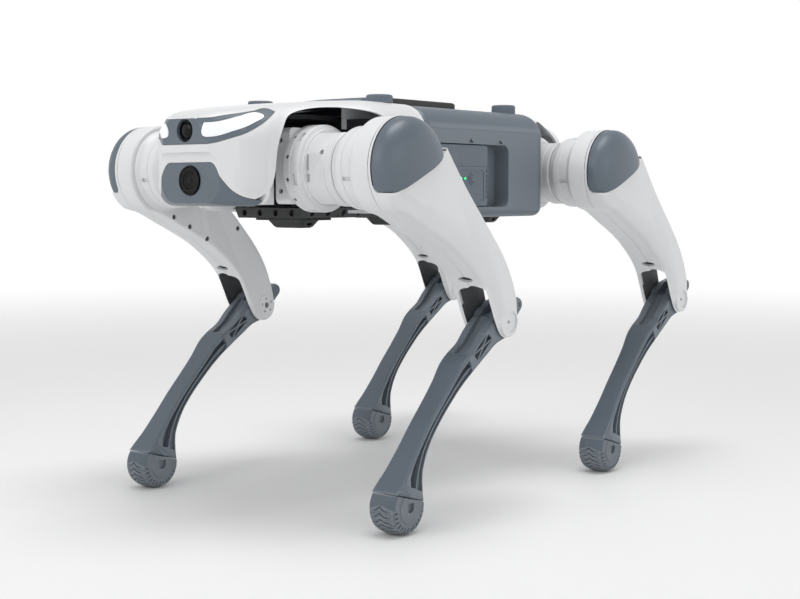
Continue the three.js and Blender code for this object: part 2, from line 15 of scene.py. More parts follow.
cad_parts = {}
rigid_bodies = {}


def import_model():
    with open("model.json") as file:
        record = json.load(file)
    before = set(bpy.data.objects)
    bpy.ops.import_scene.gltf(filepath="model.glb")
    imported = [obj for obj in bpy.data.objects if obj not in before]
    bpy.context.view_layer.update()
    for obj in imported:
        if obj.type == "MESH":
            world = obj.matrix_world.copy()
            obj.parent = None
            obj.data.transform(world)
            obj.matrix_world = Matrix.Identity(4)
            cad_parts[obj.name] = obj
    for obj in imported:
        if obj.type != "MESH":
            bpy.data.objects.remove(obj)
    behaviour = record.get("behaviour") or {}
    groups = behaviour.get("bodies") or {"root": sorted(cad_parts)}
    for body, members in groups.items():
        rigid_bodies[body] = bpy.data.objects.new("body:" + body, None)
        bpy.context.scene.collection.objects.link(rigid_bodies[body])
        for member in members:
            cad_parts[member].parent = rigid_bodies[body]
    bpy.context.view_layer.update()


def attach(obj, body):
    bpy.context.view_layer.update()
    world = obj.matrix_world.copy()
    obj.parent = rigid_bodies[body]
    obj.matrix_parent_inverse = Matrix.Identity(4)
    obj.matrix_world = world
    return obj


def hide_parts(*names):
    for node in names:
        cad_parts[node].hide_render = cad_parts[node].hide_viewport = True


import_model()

# ---------------------------------------------------------------- dimensions, millimetres

MM = 0.001
SHIFT_X = 36.44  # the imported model's origin is this far behind the middle between the hips
HIP_X, HIP_Z, ROLL_Y, LEG_Y = 174.5, 316.5, 62, 157
THIGH_LENGTH, SHANK_LENGTH = 200, 210
THIGH_LEAN, KNEE_BEND = 45, 89
GAP = 0.4
WALL = 3
# edges that turn by more than these are rounded over, and are shaded as edges
EASED_ANGLE, SHARP_ANGLE = radians(32), radians(40)

SEAM_Y = 157  # the two halves of a thigh meet in this plane
THIGH_Y = (136.5, 178)
FORK_ARM = 5
CAP_Y = (160.4, 185)
CAP_R = 43.5
CAP_CORNER_R = 7
CRANK_R, CRANK_ANGLE = 27, -77.3
ROD_Y, CRANK_Y = (151.5, 159.5), (142.3, 150.8)
SHANK_Y = (143, 171)
FOOT_R, FOOT_HALF = 24, 15
# front and rear ends of the line under which the sole is moulded on
FOOT_SEAM = ((22.7, 212.3), (-14, 193.4))

MID_X, MID_HALF, MID_Z = (-123, 78), 114, (271, 378)
RECESS_X, RECESS_Z, RECESS_FLOOR = (-56, 70), (281, 342), 97
BATTERY_X, BATTERY_Y, BATTERY_Z = (-21.2, 69.2), (-76, 113), (281.6, 341.4)
BUTTON_X, BUTTON_Z, BUTTON_R = 5, 308.4, 3.6
CHIN_X = 270.5

TRUNK = Matrix.Scale(MM, 4) @ Matrix.Translation((SHIFT_X, 0, 0))
ENDS = {"front": 1, "rear": -1}
SIDES = {"left": 1, "right": -1}

# ---------------------------------------------------------------- camera

CAMERA_AT = (1.1479, 0.8940, 0.2962)
CAMERA_AZIMUTH, CAMERA_ELEVATION = 128.19, 4.44
CAMERA_LENS = 62.58


def show(name, data):
    """A new object with this data, in the scene."""
    made = bpy.data.objects.new(name, data)
    bpy.context.scene.collection.objects.link(made)
    return made


def add_camera():
    azimuth, elevation = radians(CAMERA_AZIMUTH), radians(CAMERA_ELEVATION)
    back = Vector((sin(azimuth) * cos(elevation), -cos(azimuth) * cos(elevation), sin(elevation)))
    camera = show("camera", bpy.data.cameras.new("camera"))
    camera.data.lens = CAMERA_LENS
    camera.data.sensor_width = 36
    camera.location = CAMERA_AT
    camera.rotation_euler = back.to_track_quat("Z", "Y").to_euler()
    bpy.context.scene.camera = camera


add_camera()

# ---------------------------------------------------------------- materials


def set_sockets(tree, node, sockets):
    """Sets a node's inputs: another node's output is linked, and anything else is a value."""
    for name, value in sockets.items():
        if isinstance(value, bpy.types.NodeSocket):
            tree.links.new(value, node.inputs[name])
        else:
            node.inputs[name].default_value = value


def add_node(tree, kind, sockets=None, **settings):
    made = tree.nodes.new(kind)
    for name, value in settings.items():
        setattr(made, name, value)
    set_sockets(tree, made, sockets or {})
    return made


def new_material(name, color, roughness, metallic=0.0, coat=0.0):
    """A material, with its node tree and its shader."""
    material = bpy.data.materials.new(name)
    material.use_nodes = True
    tree = material.node_tree
    shader = tree.nodes["Principled BSDF"]
    values = {"Base Color": (*color, 1), "Roughness": roughness, "Metallic": metallic, "Coat Weight": coat}
    set_sockets(tree, shader, values)
    return material, tree, shader


def texture_space(tree, stretch=(1, 1, 1)):
    place_on_object = add_node(tree, "ShaderNodeTexCoord").outputs["Object"]
    mapping = add_node(tree, "ShaderNodeMapping", {"Scale": stretch, "Vector": place_on_object})
    return mapping.outputs["Vector"]


def noise(tree, space, scale, detail=3.0):
    sockets = {"Scale": scale, "Detail": detail, "Vector": space}
    return add_node(tree, "ShaderNodeTexNoise", sockets).outputs["Fac"]


def spread(tree, value, low, high, start=0.3, end=0.7):
    """A value between start and end, drawn out to run from low to high."""
    sockets = {"From Min": start, "From Max": end, "To Min": low, "To Max": high, "Value": value}
    return add_node(tree, "ShaderNodeMapRange", sockets).outputs["Result"]


def blended(tree, share, a, b):
    """Colour a turning into colour b as the share grows."""
    sockets = {"A": a, "B": b, "Factor": share}
    return add_node(tree, "ShaderNodeMix", sockets, data_type="RGBA").outputs["Result"]


def bumped(tree, height, strength, depth):
    sockets = {"Strength": strength, "Distance": depth, "Height": height}
    return add_node(tree, "ShaderNodeBump", sockets).outputs["Normal"]


PATCH_SCALE = 14.0
# how sharply the surface turns where wear begins, and where it is full
WORN_FROM, WORN_TO = 0.53, 0.62


def moulded(name, color, roughness, grain=1400.0, depth=0.00002, patch=0.03, wear=0.04, metallic=0.0,
            stretch=(1, 1, 1)):
    """Moulded or blasted surface: fine grain, slow patches of tone and gloss, paler worn edges."""
    material, tree, shader = new_material(name, color, roughness, metallic)
    space = texture_space(tree, stretch)
    patches = noise(tree, space, PATCH_SCALE)
    fine = noise(tree, space, grain, 2.0)
    speck = noise(tree, space, grain * 0.35, 4.0)
    darker = (*[c * (1 - patch) for c in color], 1)
    lighter = (*[min(c * (1 + patch), 1) for c in color], 1)
    tone = blended(tree, patches, darker, lighter)
    # edges catch a little more light where hands and floors have rubbed them
    sharpness = add_node(tree, "ShaderNodeNewGeometry").outputs["Pointiness"]
    edge = spread(tree, sharpness, 0, wear, WORN_FROM, WORN_TO)
    gloss = add_node(tree, "ShaderNodeMath", {
        0: spread(tree, patches, roughness - 0.04, roughness + 0.04),
        1: spread(tree, speck, -0.03, 0.03),
    }, operation="ADD")
    set_sockets(tree, shader, {
        "Base Color": blended(tree, edge, tone, (1, 1, 1, 1)),
        "Roughness": gloss.outputs["Value"],
        "Normal": bumped(tree, fine, 0.5, depth),
    })
    return material


WHITE = moulded("white_shell_plastic", (0.66, 0.67, 0.68), 0.36, depth=0.000012, patch=0.012, wear=0.12)
GREY = moulded("blue_grey_plastic", (0.108, 0.134, 0.164), 0.40, depth=0.00002, patch=0.05, wear=0.05)
BLACK = moulded("black_plastic", (0.012, 0.013, 0.015), 0.5, grain=900.0, depth=0.00004, patch=0.12,
                wear=0.02)
# painted shade: a dark grey that stands in for the shade inside the hollow thighs and their knee forks
PAINTED_SHADE_GREY = moulded("painted_shade_grey", (0.06, 0.065, 0.072), 0.46, depth=0.00003, patch=0.1, wear=0.03)
BUMPER = moulded("bumper_rubber", (0.115, 0.143, 0.175), 0.66, grain=700.0, depth=0.00006, patch=0.08,
                 wear=0.06)
RUBBER = moulded("foot_tread_rubber", (0.095, 0.118, 0.145), 0.7, grain=600.0, depth=0.00008, patch=0.1,
                 wear=0.08)
METAL = moulded("blasted_aluminium", (0.46, 0.47, 0.49), 0.36, grain=2000.0, patch=0.05, wear=0.1,
                metallic=1.0, stretch=(1, 1, 6))
SCREW = moulded("screw_steel", (0.10, 0.10, 0.11), 0.35, grain=2500.0, patch=0.1, wear=0.1, metallic=1.0)


def polished(name, color, roughness, coat, emission=0.0):
    """Smooth moulded window with a faint waviness in its gloss."""
    material, tree, shader = new_material(name, color, roughness, coat=coat)
    smear = noise(tree, texture_space(tree), 60.0)
    sockets = {
        "Coat Roughness": 0.03,
        "Roughness": spread(tree, smear, roughness * 0.7, roughness * 1.4),
        "Normal": bumped(tree, smear, 0.15, 0.00003),
    }
    if emission:
        sockets.update({"Emission Color": (*color, 1), "Emission Strength": emission})
    set_sockets(tree, shader, sockets)
    return material


LENS = polished("camera_window_black", (0.002, 0.002, 0.003), 0.2, 0.1)
LENS.node_tree.nodes["Principled BSDF"].inputs["Specular IOR Level"].default_value = 0.15
LIGHT = polished("light_window_white", (0.84, 0.86, 0.88), 0.12, 0.6, emission=0.12)
LED = polished("status_led_green", (0.02, 0.75, 0.18), 0.2, 0.5, emission=2.5)

# ---------------------------------------------------------------- outlines


def arc(cx, cy, r, start, end, steps=12):
    """Points round an arc, in degrees from the first axis."""
    angles = [radians(start + (end - start) * i / steps) for i in range(steps + 1)]
    return [(cx + r * cos(a), cy + r * sin(a)) for a in angles]


def curve(points, corners=(), step=2.0, closed=True):
    """A smooth line through the points, with the numbered ones left as sharp corners."""
    count = len(points)
    last = count if closed else count - 1
    corners = set(corners)

    def point(i):
        return Vector(points[i % count]) if closed else Vector(points[min(max(i, 0), count - 1)])

    out = []
    for i in range(last):
        p1, p2 = point(i), point(i + 1)
        p0 = point(i - 1) if i not in corners else p1 * 2 - p2
        p3 = point(i + 2) if (i + 1) % count not in corners else p2 * 2 - p1
        span = (p2 - p1).length
        before, after = max((p1 - p0).length, 1e-6), max((p3 - p2).length, 1e-6)
        slope1 = ((p2 - p1) / span + (p1 - p0) / before) / 2 * span
        slope2 = ((p3 - p2) / after + (p2 - p1) / span) / 2 * span
        pieces = max(1, round(span / step))
        for k in range(pieces):
            t = k / pieces
            h1, h2 = 2 * t**3 - 3 * t**2 + 1, -2 * t**3 + 3 * t**2
            h3, h4 = t**3 - 2 * t**2 + t, t**3 - t**2
            p = p1 * h1 + p2 * h2 + slope1 * h3 + slope2 * h4
            out.append((p.x, p.y))
    if not closed:
        out.append(tuple(points[-1]))
    return out


def oval(x, y, rx, ry, steps=48):
    turns = [2 * pi * i / steps for i in range(steps)]
    return [(x + rx * cos(a), y + ry * sin(a)) for a in turns]


def rounded_rect(x, z, r, steps=6):
    corners = ((x[1] - r, z[1] - r), (x[0] + r, z[1] - r), (x[0] + r, z[0] + r), (x[1] - r, z[0] + r))
    return [p for k, (cx, cz) in enumerate(corners) for p in arc(cx, cz, r, 90 * k, 90 * k + 90, steps)]


def hexagon(x, z, r):
    return oval(x, z, r, r, 6)


def area(outline):
    return sum(x0 * y1 - x1 * y0 for (x0, y0), (x1, y1) in zip(outline, outline[1:] + outline[:1])) / 2


def inset(outline, amount):
    """The outline moved inwards by an amount, or outwards where it is negative."""
    turn = 1 if area(outline) > 0 else -1
    count = len(outline)
    moved = []
    for i, (x, y) in enumerate(outline):
        (x0, y0), (x1, y1) = outline[i - 1], outline[(i + 1) % count]
        a, b = Vector((x - x0, y - y0)), Vector((x1 - x, y1 - y))
        a = a.normalized() if a.length else b.normalized()
        b = b.normalized() if b.length else a
        along = (a + b).normalized() if (a + b).length > 1e-6 else a
        stretch = 1 / max(abs(along.dot(a)), 0.5)
        moved.append((x - along.y * amount * turn * stretch, y + along.x * amount * turn * stretch))
    return moved


def down(points):
    """Limb outlines are (t, s): t forwards across the limb, s down along it."""
    return [(t, -s) for t, s in points]


def polar(radius, degrees):
    """Limb point (t, s) at a distance from the joint, in degrees from straight down the limb."""
    return radius * sin(radians(degrees)), radius * cos(radians(degrees))


# ---------------------------------------------------------------- solids


def bands(rows, size):
    """The faces that join each ring of points to the next."""
    faces = []
    for row in range(rows - 1):
        for i in range(size):
            a, b = row * size + i, row * size + (i + 1) % size
            faces.append((a, b, b + size, a + size))
    return faces


@contextmanager
def opened(mesh):
    """A mesh opened for editing, and written back when the work on it is done."""
    built = bmesh.new()
    built.from_mesh(mesh)
    yield built
    built.to_mesh(mesh)
    built.free()


def skinned(rings):
    """A closed solid through rings of equal length."""
    size = len(rings[0])
    faces = bands(len(rings), size)
    faces += [tuple(range(size)), tuple(range((len(rings) - 1) * size, len(rings) * size))]
    mesh = bpy.data.meshes.new("solid")
    mesh.from_pydata([tuple(p) for ring in rings for p in ring], [], faces)
    with opened(mesh) as built:
        bmesh.ops.recalc_face_normals(built, faces=built.faces)
    return show("solid", mesh)


def prism_y(outline, span):
    return skinned([[(x, y, z) for x, z in outline] for y in span])


def prism_x(outline, span):
    return skinned([[(x, y, z) for y, z in outline] for x in span])


def box(x, y, z):
    return prism_y([(x[0], z[0]), (x[1], z[0]), (x[1], z[1]), (x[0], z[1])], y)


def lathe(profile, x=0.0, z=0.0, sides=96, axis="y", y=0.0):
    """A solid of revolution from (radius, along) points, about an axis through the given place."""
    rings = []
    for radius, along in profile:
        ring = []
        for i in range(sides):
            a = 2 * pi * i / sides
            u, v = max(radius, 0.02) * cos(a), max(radius, 0.02) * sin(a)
            ring.append((x + u, along, z + v) if axis == "y" else (along, y + u, z + v))
        rings.append(ring)
    return skinned(rings)


def rod_y(radius, span, x, z, sides=48):
    return lathe([(radius, span[0]), (radius, span[1])], x, z, sides)


def rod_x(radius, span, y, z, sides=48):
    return lathe([(radius, span[0]), (radius, span[1])], 0, z, sides, "x", y)


def settle(obj):
    """Applies an object's modifiers to its mesh."""
    graph = bpy.context.evaluated_depsgraph_get()
    mesh = bpy.data.meshes.new_from_object(obj.evaluated_get(graph))
    spent = obj.data
    obj.modifiers.clear()
    obj.data = mesh
    bpy.data.meshes.remove(spent)
    return obj


def combine(body, others, operation):
    for other in others:
        modifier = body.modifiers.new(operation, "BOOLEAN")
        modifier.object = other
        modifier.operation = operation
        modifier.solver = "MANIFOLD"
    settle(body)
    for other in others:
        drop(other)
    return body


def drop(obj):
    mesh = obj.data
    bpy.data.objects.remove(obj)
    bpy.data.meshes.remove(mesh)


def copy_of(obj):
    made = obj.copy()
    made.data = obj.data.copy()
    bpy.context.scene.collection.objects.link(made)
    return made


def join(body, *others):
    return combine(body, others, "UNION")


def cut(body, *others):
    return combine(body, others, "DIFFERENCE")


def common(body, *others):
    return combine(body, others, "INTERSECT")


def eased(obj, width=0.5):
    """Rounds the sharper edges, as a mould or a file leaves them."""
    with opened(obj.data) as built:
        bmesh.ops.remove_doubles(built, verts=built.verts, dist=0.01)
        bmesh.ops.dissolve_degenerate(built, edges=built.edges, dist=0.01)
    bevel = obj.modifiers.new("bevel", "BEVEL")
    bevel.width = width
    bevel.segments = 2
    bevel.limit_method = "ANGLE"
    bevel.angle_limit = EASED_ANGLE
    bevel.miter_outer = "MITER_ARC"
    bevel.use_clamp_overlap = True
    return settle(obj)


def spun(obj, angle):
    """Turns a drawing about the y axis."""
    obj.data.transform(Matrix.Rotation(angle, 4, "Y"))
    return obj


def on_side(side, near, far):
    """The span across the robot from near to far, on one side of its middle."""
    return sorted((side * near, side * far))


def sweep_up():
    """Removes the drawings that the finished pieces were copied from."""
    for obj in [o for o in bpy.context.scene.objects if o.name.startswith("solid")]:
        drop(obj)


def place(obj, name, matrix, material, body, *nodes, painted_shade=None):
    """Puts a copy of a drawn shape into the robot as a finished piece, with dark grey painted shade on the
    faces that the given test picks out.
    """
    mesh = obj.data.copy()
    mesh.name = name
    mesh.materials.clear()
    mesh.materials.append(material)
    # the picked faces get the dark grey painted shade
    if painted_shade:
        mesh.materials.append(PAINTED_SHADE_GREY)
        for face in mesh.polygons:
            face.material_index = int(painted_shade(face.center))
    mesh.transform(matrix)
    if matrix.determinant() < 0:
        mesh.flip_normals()
    mesh.shade_smooth()
    mesh.set_sharp_from_angle(angle=SHARP_ANGLE)
    made = show(name, mesh)
    weighted = made.modifiers.new("weighted", "WEIGHTED_NORMAL")
    weighted.keep_sharp = True
    settle(made)
    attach(made, body)
    if nodes:
        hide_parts(*nodes)


# ---------------------------------------------------------------- trunk shells


def monotone(xs, values, x):
    """Value at x on a smooth curve through the stations that never overshoots them."""
    i = max(0, min(len(xs) - 2, sum(1 for known in xs if known <= x) - 1))
    steps = [xs[k + 1] - xs[k] for k in range(len(xs) - 1)]
    rises = [(values[k + 1] - values[k]) / steps[k] for k in range(len(xs) - 1)]

    def slope(k):
        if k in (0, len(xs) - 1):
            return rises[min(k, len(rises) - 1)]
        a, b = rises[k - 1], rises[k]
        return 0 if a * b <= 0 else 2 * a * b / (a + b)

    h = steps[i]
    t = (x - xs[i]) / h
    return (
        values[i] * (2 * t**3 - 3 * t**2 + 1)
        + slope(i) * h * (t**3 - 2 * t**2 + t)
        + values[i + 1] * (3 * t**2 - 2 * t**3)
        + slope(i + 1) * h * (t**3 - t**2)
    )


# sections of the trunk: x, half width, low, high, radius above, radius below
FRONT = [
    (78.4, 112, 276, 379, 28, 9),
    (130, 106, 276, 380, 28, 9),
    (175, 87, 276, 377, 28, 9),
    (215, 69, 280, 373, 28, 12),
    (238, 65, 283, 370, 28, 16),
    (256, 56, 284, 367.5, 28, 18),
    (266, 42, 285, 365.5, 22, 18),
    (272, 34, 287, 363, 16, 16),
    (275, 29, 290, 360, 12, 13),
]
TAIL = [
    (123.4, 106, 276, 378.5, 28, 9),
    (175, 87, 278, 376.5, 28, 9),
    (215, 69, 280, 373, 28, 9),
    (238, 64, 284, 369, 28, 9),
    (250, 56, 290, 362, 20, 9),
]
CAMBER = 2.5  # how far the roof falls towards its shoulders


def section(x, half, low, high, top, bottom, margin=0.0):
    """One closed ring round the trunk at x."""
    half, low, high = half - margin, low + margin, high - margin
    top, bottom = max(top - margin, 1), max(bottom - margin, 1)
    outline = []
    for sy, sz, r, start in ((1, 1, top, 0), (-1, 1, top, 90), (-1, -1, bottom, 180), (1, -1, bottom, 270)):
        cz = (high if sz > 0 else low) - sz * r
        outline += arc(sy * (half - r), cz, r, start, start + 90, 10)
        if start == 0:
            outline += [((half - r) * (1 - k / 8), high) for k in range(1, 16)]
    middle = (low + high) / 2
    rise = high - middle
    return [
        (x, y, z - CAMBER * (y / half) ** 2 * max(0, (z - middle) / rise) ** 2) for y, z in outline
    ]


def hull(stations, margin=0.0, extend=0.0, step=3.0):
    """The trunk's skin through its stations, moved in by a margin."""
    xs = [s[0] for s in stations]
    places = []
    for a, b in zip(xs, xs[1:]):
        pieces = max(2, round((b - a) / step))
        places += [a + (b - a) * k / pieces for k in range(pieces)]
    places.append(xs[-1])
    rings = []
    for x in places:
        sizes = [monotone(xs, [s[k] for s in stations], x) for k in range(1, 6)]
        rings.append(section(x, *sizes, margin))
    rings[0] = [(x - extend, y, z) for x, y, z in rings[0]]
    if margin:
        tail = [ring for ring in rings if ring[0][0] < xs[-1] - margin]
        sizes = [monotone(xs, [s[k] for s in stations], xs[-1] - margin) for k in range(1, 6)]
        return skinned(tail + [section(xs[-1] - margin, *sizes, margin)])
    # the last edge is rounded over
    end = rings[-1]
    cy = sum(p[1] for p in end) / len(end)
    cz = sum(p[2] for p in end) / len(end)
    for inward, out in ((0.5, 0.5), (1.6, 0.9), (3.2, 1.0)):
        ring = []
        for _, y, z in end:
            reach = hypot(y - cy, z - cz)
            k = (reach - inward) / reach
            ring.append((xs[-1] + out, cy + (y - cy) * k, cz + (z - cz) * k))
        rings.append(ring)
    return skinned(rings)


ACROSS = (-130, 130)
ARCH_REAR = 122
ARCH = curve(
    [(ARCH_REAR, 240), (ARCH_REAR, 352), (ARCH_REAR + 3, 360), (132, 365), (144, 368.5), (171, 371),
     (200, 367), (214, 361), (224, 349), (229, 337), (235, 304), (240, 296), (250, 288), (252, 240)],
    corners=(0, 1, 12, 13),
)
FACE_BAND = curve(
    [(290, 337), (276, 337), (262, 343), (246, 352), (233, 359.5), (222, 365.5), (225, 367.8), (240, 365.3),
     (262, 361.2), (273, 358.8), (290, 358.8)],
    corners=(0, 5, 10),
)
LIGHT_BAND = curve(
    [(290, 343), (273, 343), (262, 348), (247, 355.5), (236, 362), (239, 364.2), (255, 360.5),
     (271, 355.5), (290, 355.5)],
    corners=(0, 8),
)
CHIN_EDGE = curve(
    [(25.5, 321), (29.5, 319), (38, 305.5), (45, 296), (54, 290), (70, 286)], closed=False
) + [(70, 250)]
# the inner ends of the lights, seen from the front
LIGHT_END = curve(
    [(21.7, 344), (20.7, 346), (21.5, 351), (25, 356), (42, 364), (80, 374), (80, 335), (42, 335),
     (25.5, 342.8)],
    corners=(5, 6), step=1.5,
)
CHIN_BACK_X = 242
UPPER_LENS_Z, UPPER_LENS_R = 348.7, 9.5
LOWER_LENS_Z, LOWER_LENS_R = 305.7, 12.8


def chin_undercut(x):
    outline = arc(x + 12, 320, 12, 180, 125, 8) + [(x + 9, 331.5), (300, 333), (300, 240), (x, 240)]
    return prism_y(outline, ACROSS)


def chin_prism(margin):
    left = [(y + margin, z + margin) for y, z in CHIN_EDGE]
    right = [(-y, z) for y, z in reversed(left)]
    return prism_x(right + left, (CHIN_BACK_X - margin, 300))


def light_end(side, margin=0.0):
    outline = [(side * y, z) for y, z in inset(LIGHT_END, -margin)]
    return prism_x(outline, (225, 300))


def belly_gap(x):
    """The room that a shell leaves for the keel under the trunk."""
    return box(x, (-54, 54), (260, 284))


def build_head():
    outer = cut(hull(FRONT), chin_undercut(CHIN_X))
    skin = cut(copy_of(outer), cut(hull(FRONT, WALL, 1), chin_undercut(CHIN_X - WALL)))

    # white shell
    wall = common(box((238, 241), ACROSS, (285, 380)), copy_of(outer))
    top = cut(copy_of(skin), prism_y(ARCH, ACROSS), belly_gap((MID_X[1] - 5, ARCH_REAR + 5)))
    # inside: a wall beside each front hip, and a slotted plate that hangs from the roof behind it
    sides = [box((206, 240), on_side(side, 36, 39), (284.5, 352)) for side in (1, -1)]
    racks = []
    for side in (1, -1):
        slots = [box((90 + 9 * k, 96 + 9 * k), on_side(side, 59, 63), (357, 361.5)) for k in range(5)]
        racks.append(cut(box((86, 138), on_side(side, 60, 62), (353, 376.5)), *slots))
    shell = join(top, wall, *sides, *racks)
    cable_hole = box((230, 250), (-20, 20), (300, 330))
    cut(shell, prism_y(inset(FACE_BAND, -GAP), ACROSS), chin_prism(GAP), cable_hole)
    place(eased(shell, 0.8), "front_shell_skin", TRUNK, WHITE, "trunk", "front_shell")

    # blue-grey band with a window for each light and for the upper camera
    band = common(copy_of(skin), prism_y(FACE_BAND, ACROSS))
    back = hull(FRONT, WALL - 1 + GAP, 1)
    windows = []
    for side in (1, -1):
        opening = common(prism_y(inset(LIGHT_BAND, -GAP), ACROSS), light_end(side, GAP))
        windows.append(cut(opening, copy_of(back)))
    drop(back)
    cut(band, *windows, rod_x(UPPER_LENS_R + GAP, (255, 290), 0, UPPER_LENS_Z))
    place(eased(band, 0.5), "face_band", TRUNK, GREY, "trunk", "face_panel")

    chin = common(skin, chin_prism(0))
    cut(chin, rod_x(LOWER_LENS_R + GAP, (255, 290), 0, LOWER_LENS_Z))
    place(eased(chin, 0.8), "chin_shield", TRUNK, GREY, "trunk", "chin_panel")

    # milky windows, flush with the band
    shallow = hull(FRONT, WALL - 1, 1)
    for label, side in SIDES.items():
        lit = cut(copy_of(outer), copy_of(shallow))
        common(lit, prism_y(LIGHT_BAND, ACROSS), light_end(side))
        place(eased(lit, 0.4), f"headlight_{label}_window", TRUNK, LIGHT, "trunk", f"headlight_{label}")
    drop(shallow)
    drop(outer)

    # upper camera: a dark tube with a domed glass
    dome = [(0, 263), (UPPER_LENS_R, 263), (UPPER_LENS_R, 272.6), (UPPER_LENS_R - 0.6, 273.2)]
    dome += [(8.2, 273.2), (8.0, 272.6), (7.4, 272.6)]
    dome += oval(0, 272.8, 7.2, 2.4, 24)[:7]
    glass = lathe(dome, 0, UPPER_LENS_Z, 64, "x")
    place(glass, "upper_camera_glass", TRUNK, LENS, "trunk", "upper_camera_lens")
    # lower camera: stepped rings round a small front element
    rings = [(0, 260), (LOWER_LENS_R, 260), (LOWER_LENS_R, 271.6), (LOWER_LENS_R - 0.5, 272.2), (11.4, 272.2)]
    rings += [(11.0, 271.5), (7.6, 271.3), (7.4, 270.8), (7.0, 271.2), (4.6, 271.1), (4.4, 270.7)]
    rings += [(4.0, 271.0), (0, 271.0)]
    glass = lathe(rings, 0, LOWER_LENS_Z, 64, "x")
    place(glass, "lower_camera_glass", TRUNK, LENS, "trunk", "lower_camera_lens")


def build_tail():
    outer = hull(TAIL)
    inner = hull(TAIL, WALL, 1)
    shell = cut(outer, inner, prism_y(ARCH, ACROSS))
    turned = TRUNK @ Matrix.Rotation(pi, 4, "Z")
    place(eased(shell, 0.8), "rear_shell_skin", turned, WHITE, "trunk", "rear_shell")


build_head()
build_tail()


# ---------------------------------------------------------------- trunk middle


LID_Z = 355.5  # the parting line round the lid


def build_middle():
    def ring(x, margin=0.0):
        return section(x, MID_HALF, *MID_Z, 26, 9, margin)

    # the rear edge is rounded over 12 mm and the front edge over 5 mm
    turns = [radians(90 - 11.25 * k) for k in range(9)]
    ends = [(MID_X[0] + 12 * (1 - sin(a)), 8 * (1 - cos(a))) for a in turns]
    ends += [(MID_X[1] - 5, 0), (MID_X[1] - 2.6, 0.5), (MID_X[1] - 1, 1.5), (MID_X[1], 3)]
    outer = skinned([ring(x, margin) for x, margin in ends])
    hollow = skinned([ring(MID_X[0] - 1, WALL), ring(MID_X[1] + 1, WALL)])
    x, z = RECESS_X, RECESS_Z
    tub = box((x[0] - WALL, x[1] + WALL), (RECESS_FLOOR - WALL, MID_HALF - 2), (z[0] - WALL, z[1] + WALL))
    # behind the battery the recess leaves room for fingers, and is rounded at its end
    scoop = [(x[1], z[0]), (x[1], z[1])] + arc(x[0] + 8, z[1] - 8, 8, 90, 180, 8)
    scoop += arc(x[0] + 8, z[0] + 8, 8, 180, 270, 8)
    recess = prism_y(scoop, (RECESS_FLOOR, MID_HALF + 5))
    slot = box((BATTERY_X[0] - GAP, x[1]), (RECESS_FLOOR - 10, RECESS_FLOOR + 5), z)
    far_slot = box((-10, 58), (-MID_HALF - 5, -MID_HALF + 10), (300, 304))
    body = join(cut(outer, hollow), tub)
    cut(body, recess, slot, belly_gap((MID_X[0] - 5, MID_X[1] + 5)), far_slot)

    # the lid's parting line and the break before the rear lip run up each side; two notches free the lid
    breaks = []
    lid_line = ((MID_X[0] - 2, MID_X[1] + 2), (LID_Z - 0.35, LID_Z + 0.35))
    lip_line = ((-113.4, -112.6), (262, 356))
    for along, up in (lid_line, lip_line):
        breaks += [box(along, on_side(side, MID_HALF - 0.7, MID_HALF + 3), up) for side in (1, -1)]
    notches = []
    for nx in (9, -41):
        notch = [(nx - 4.5, z[1] + 1.2), (nx + 4.5, z[1] + 1.2), (nx, z[1] + 5.2)]
        notches.append(prism_y(notch, (MID_HALF - 2, MID_HALF + 3)))
    cut(body, *breaks[:2], *notches, *breaks[2:])
    place(eased(body, 0.6), "mid_housing_body", TRUNK, GREY, "trunk", "mid_housing")


def build_battery():
    outline = rounded_rect(BATTERY_X, BATTERY_Z, 4)
    back, face = BATTERY_Y
    edge = 1.2
    rings = [(back, 1.2), (back + edge, 0), (face - edge, 0), (face - 0.4, 0.45), (face, 1.2)]
    pack = skinned([[(x, y, z) for x, z in inset(outline, m)] for y, m in rings])
    split = box((BATTERY_X[0] - 1, BATTERY_X[1] + 1), (face - 0.6, face + 1), (320.2, 320.9))
    pocket = rod_y(BUTTON_R + GAP, (face - 7, face + 1), BUTTON_X, BUTTON_Z)
    leds = [(22.8, 308.7), (16.3, 308.8)]
    wells = [rod_y(1.15, (face - 1.5, face + 1), x, z, 20) for x, z in leds]
    # a shallow panel below the split, and a plain raised plate above it
    panel = prism_y(rounded_rect((-14, 62), (286, 317), 3), (face - 0.5, face + 1))
    cut(pack, split, pocket, panel, *wells)
    plate = prism_y(rounded_rect((30, 54), (326, 334), 1.5), (face - 1, face + 0.3))
    ring = cut(rod_y(BUTTON_R + 2.2, (face - 3, face + 0.3), BUTTON_X, BUTTON_Z),
               rod_y(BUTTON_R + GAP, (face - 8, face + 1), BUTTON_X, BUTTON_Z))
    join(pack, plate, ring)
    grips = [box((-19.5, -17.2), (face - 0.6, face + 1), (290 + k * 5, 292.4 + k * 5)) for k in range(6)]
    cut(pack, *grips)
    place(eased(pack, 0.3), "battery_case", TRUNK, GREY, "battery", "battery_pack")
    for number, (x, z) in enumerate(leds, 1):
        profile = [(0, face - 1.4), (1.05, face - 1.4), (1.05, face - 0.5), (0.7, face - 0.1), (0, face)]
        bead = lathe(profile, x, z, 20)
        place(bead, f"battery_led_{number}", TRUNK, LED, "battery")
    knob = [(0, face - 4.5), (BUTTON_R, face - 4.5), (BUTTON_R, face + 0.5), (BUTTON_R - 0.4, face + 1.0)]
    knob += [(BUTTON_R - 1.2, face + 1.2), (BUTTON_R - 1.8, face + 0.9), (0, face + 0.7)]
    place(lathe(knob, BUTTON_X, BUTTON_Z, 48), "power_button_cap", TRUNK, GREY, "button", "power_button")


PLATE_Z = (380.6, 388)
FRAME_X = 50  # the blue-grey frame runs forward from here


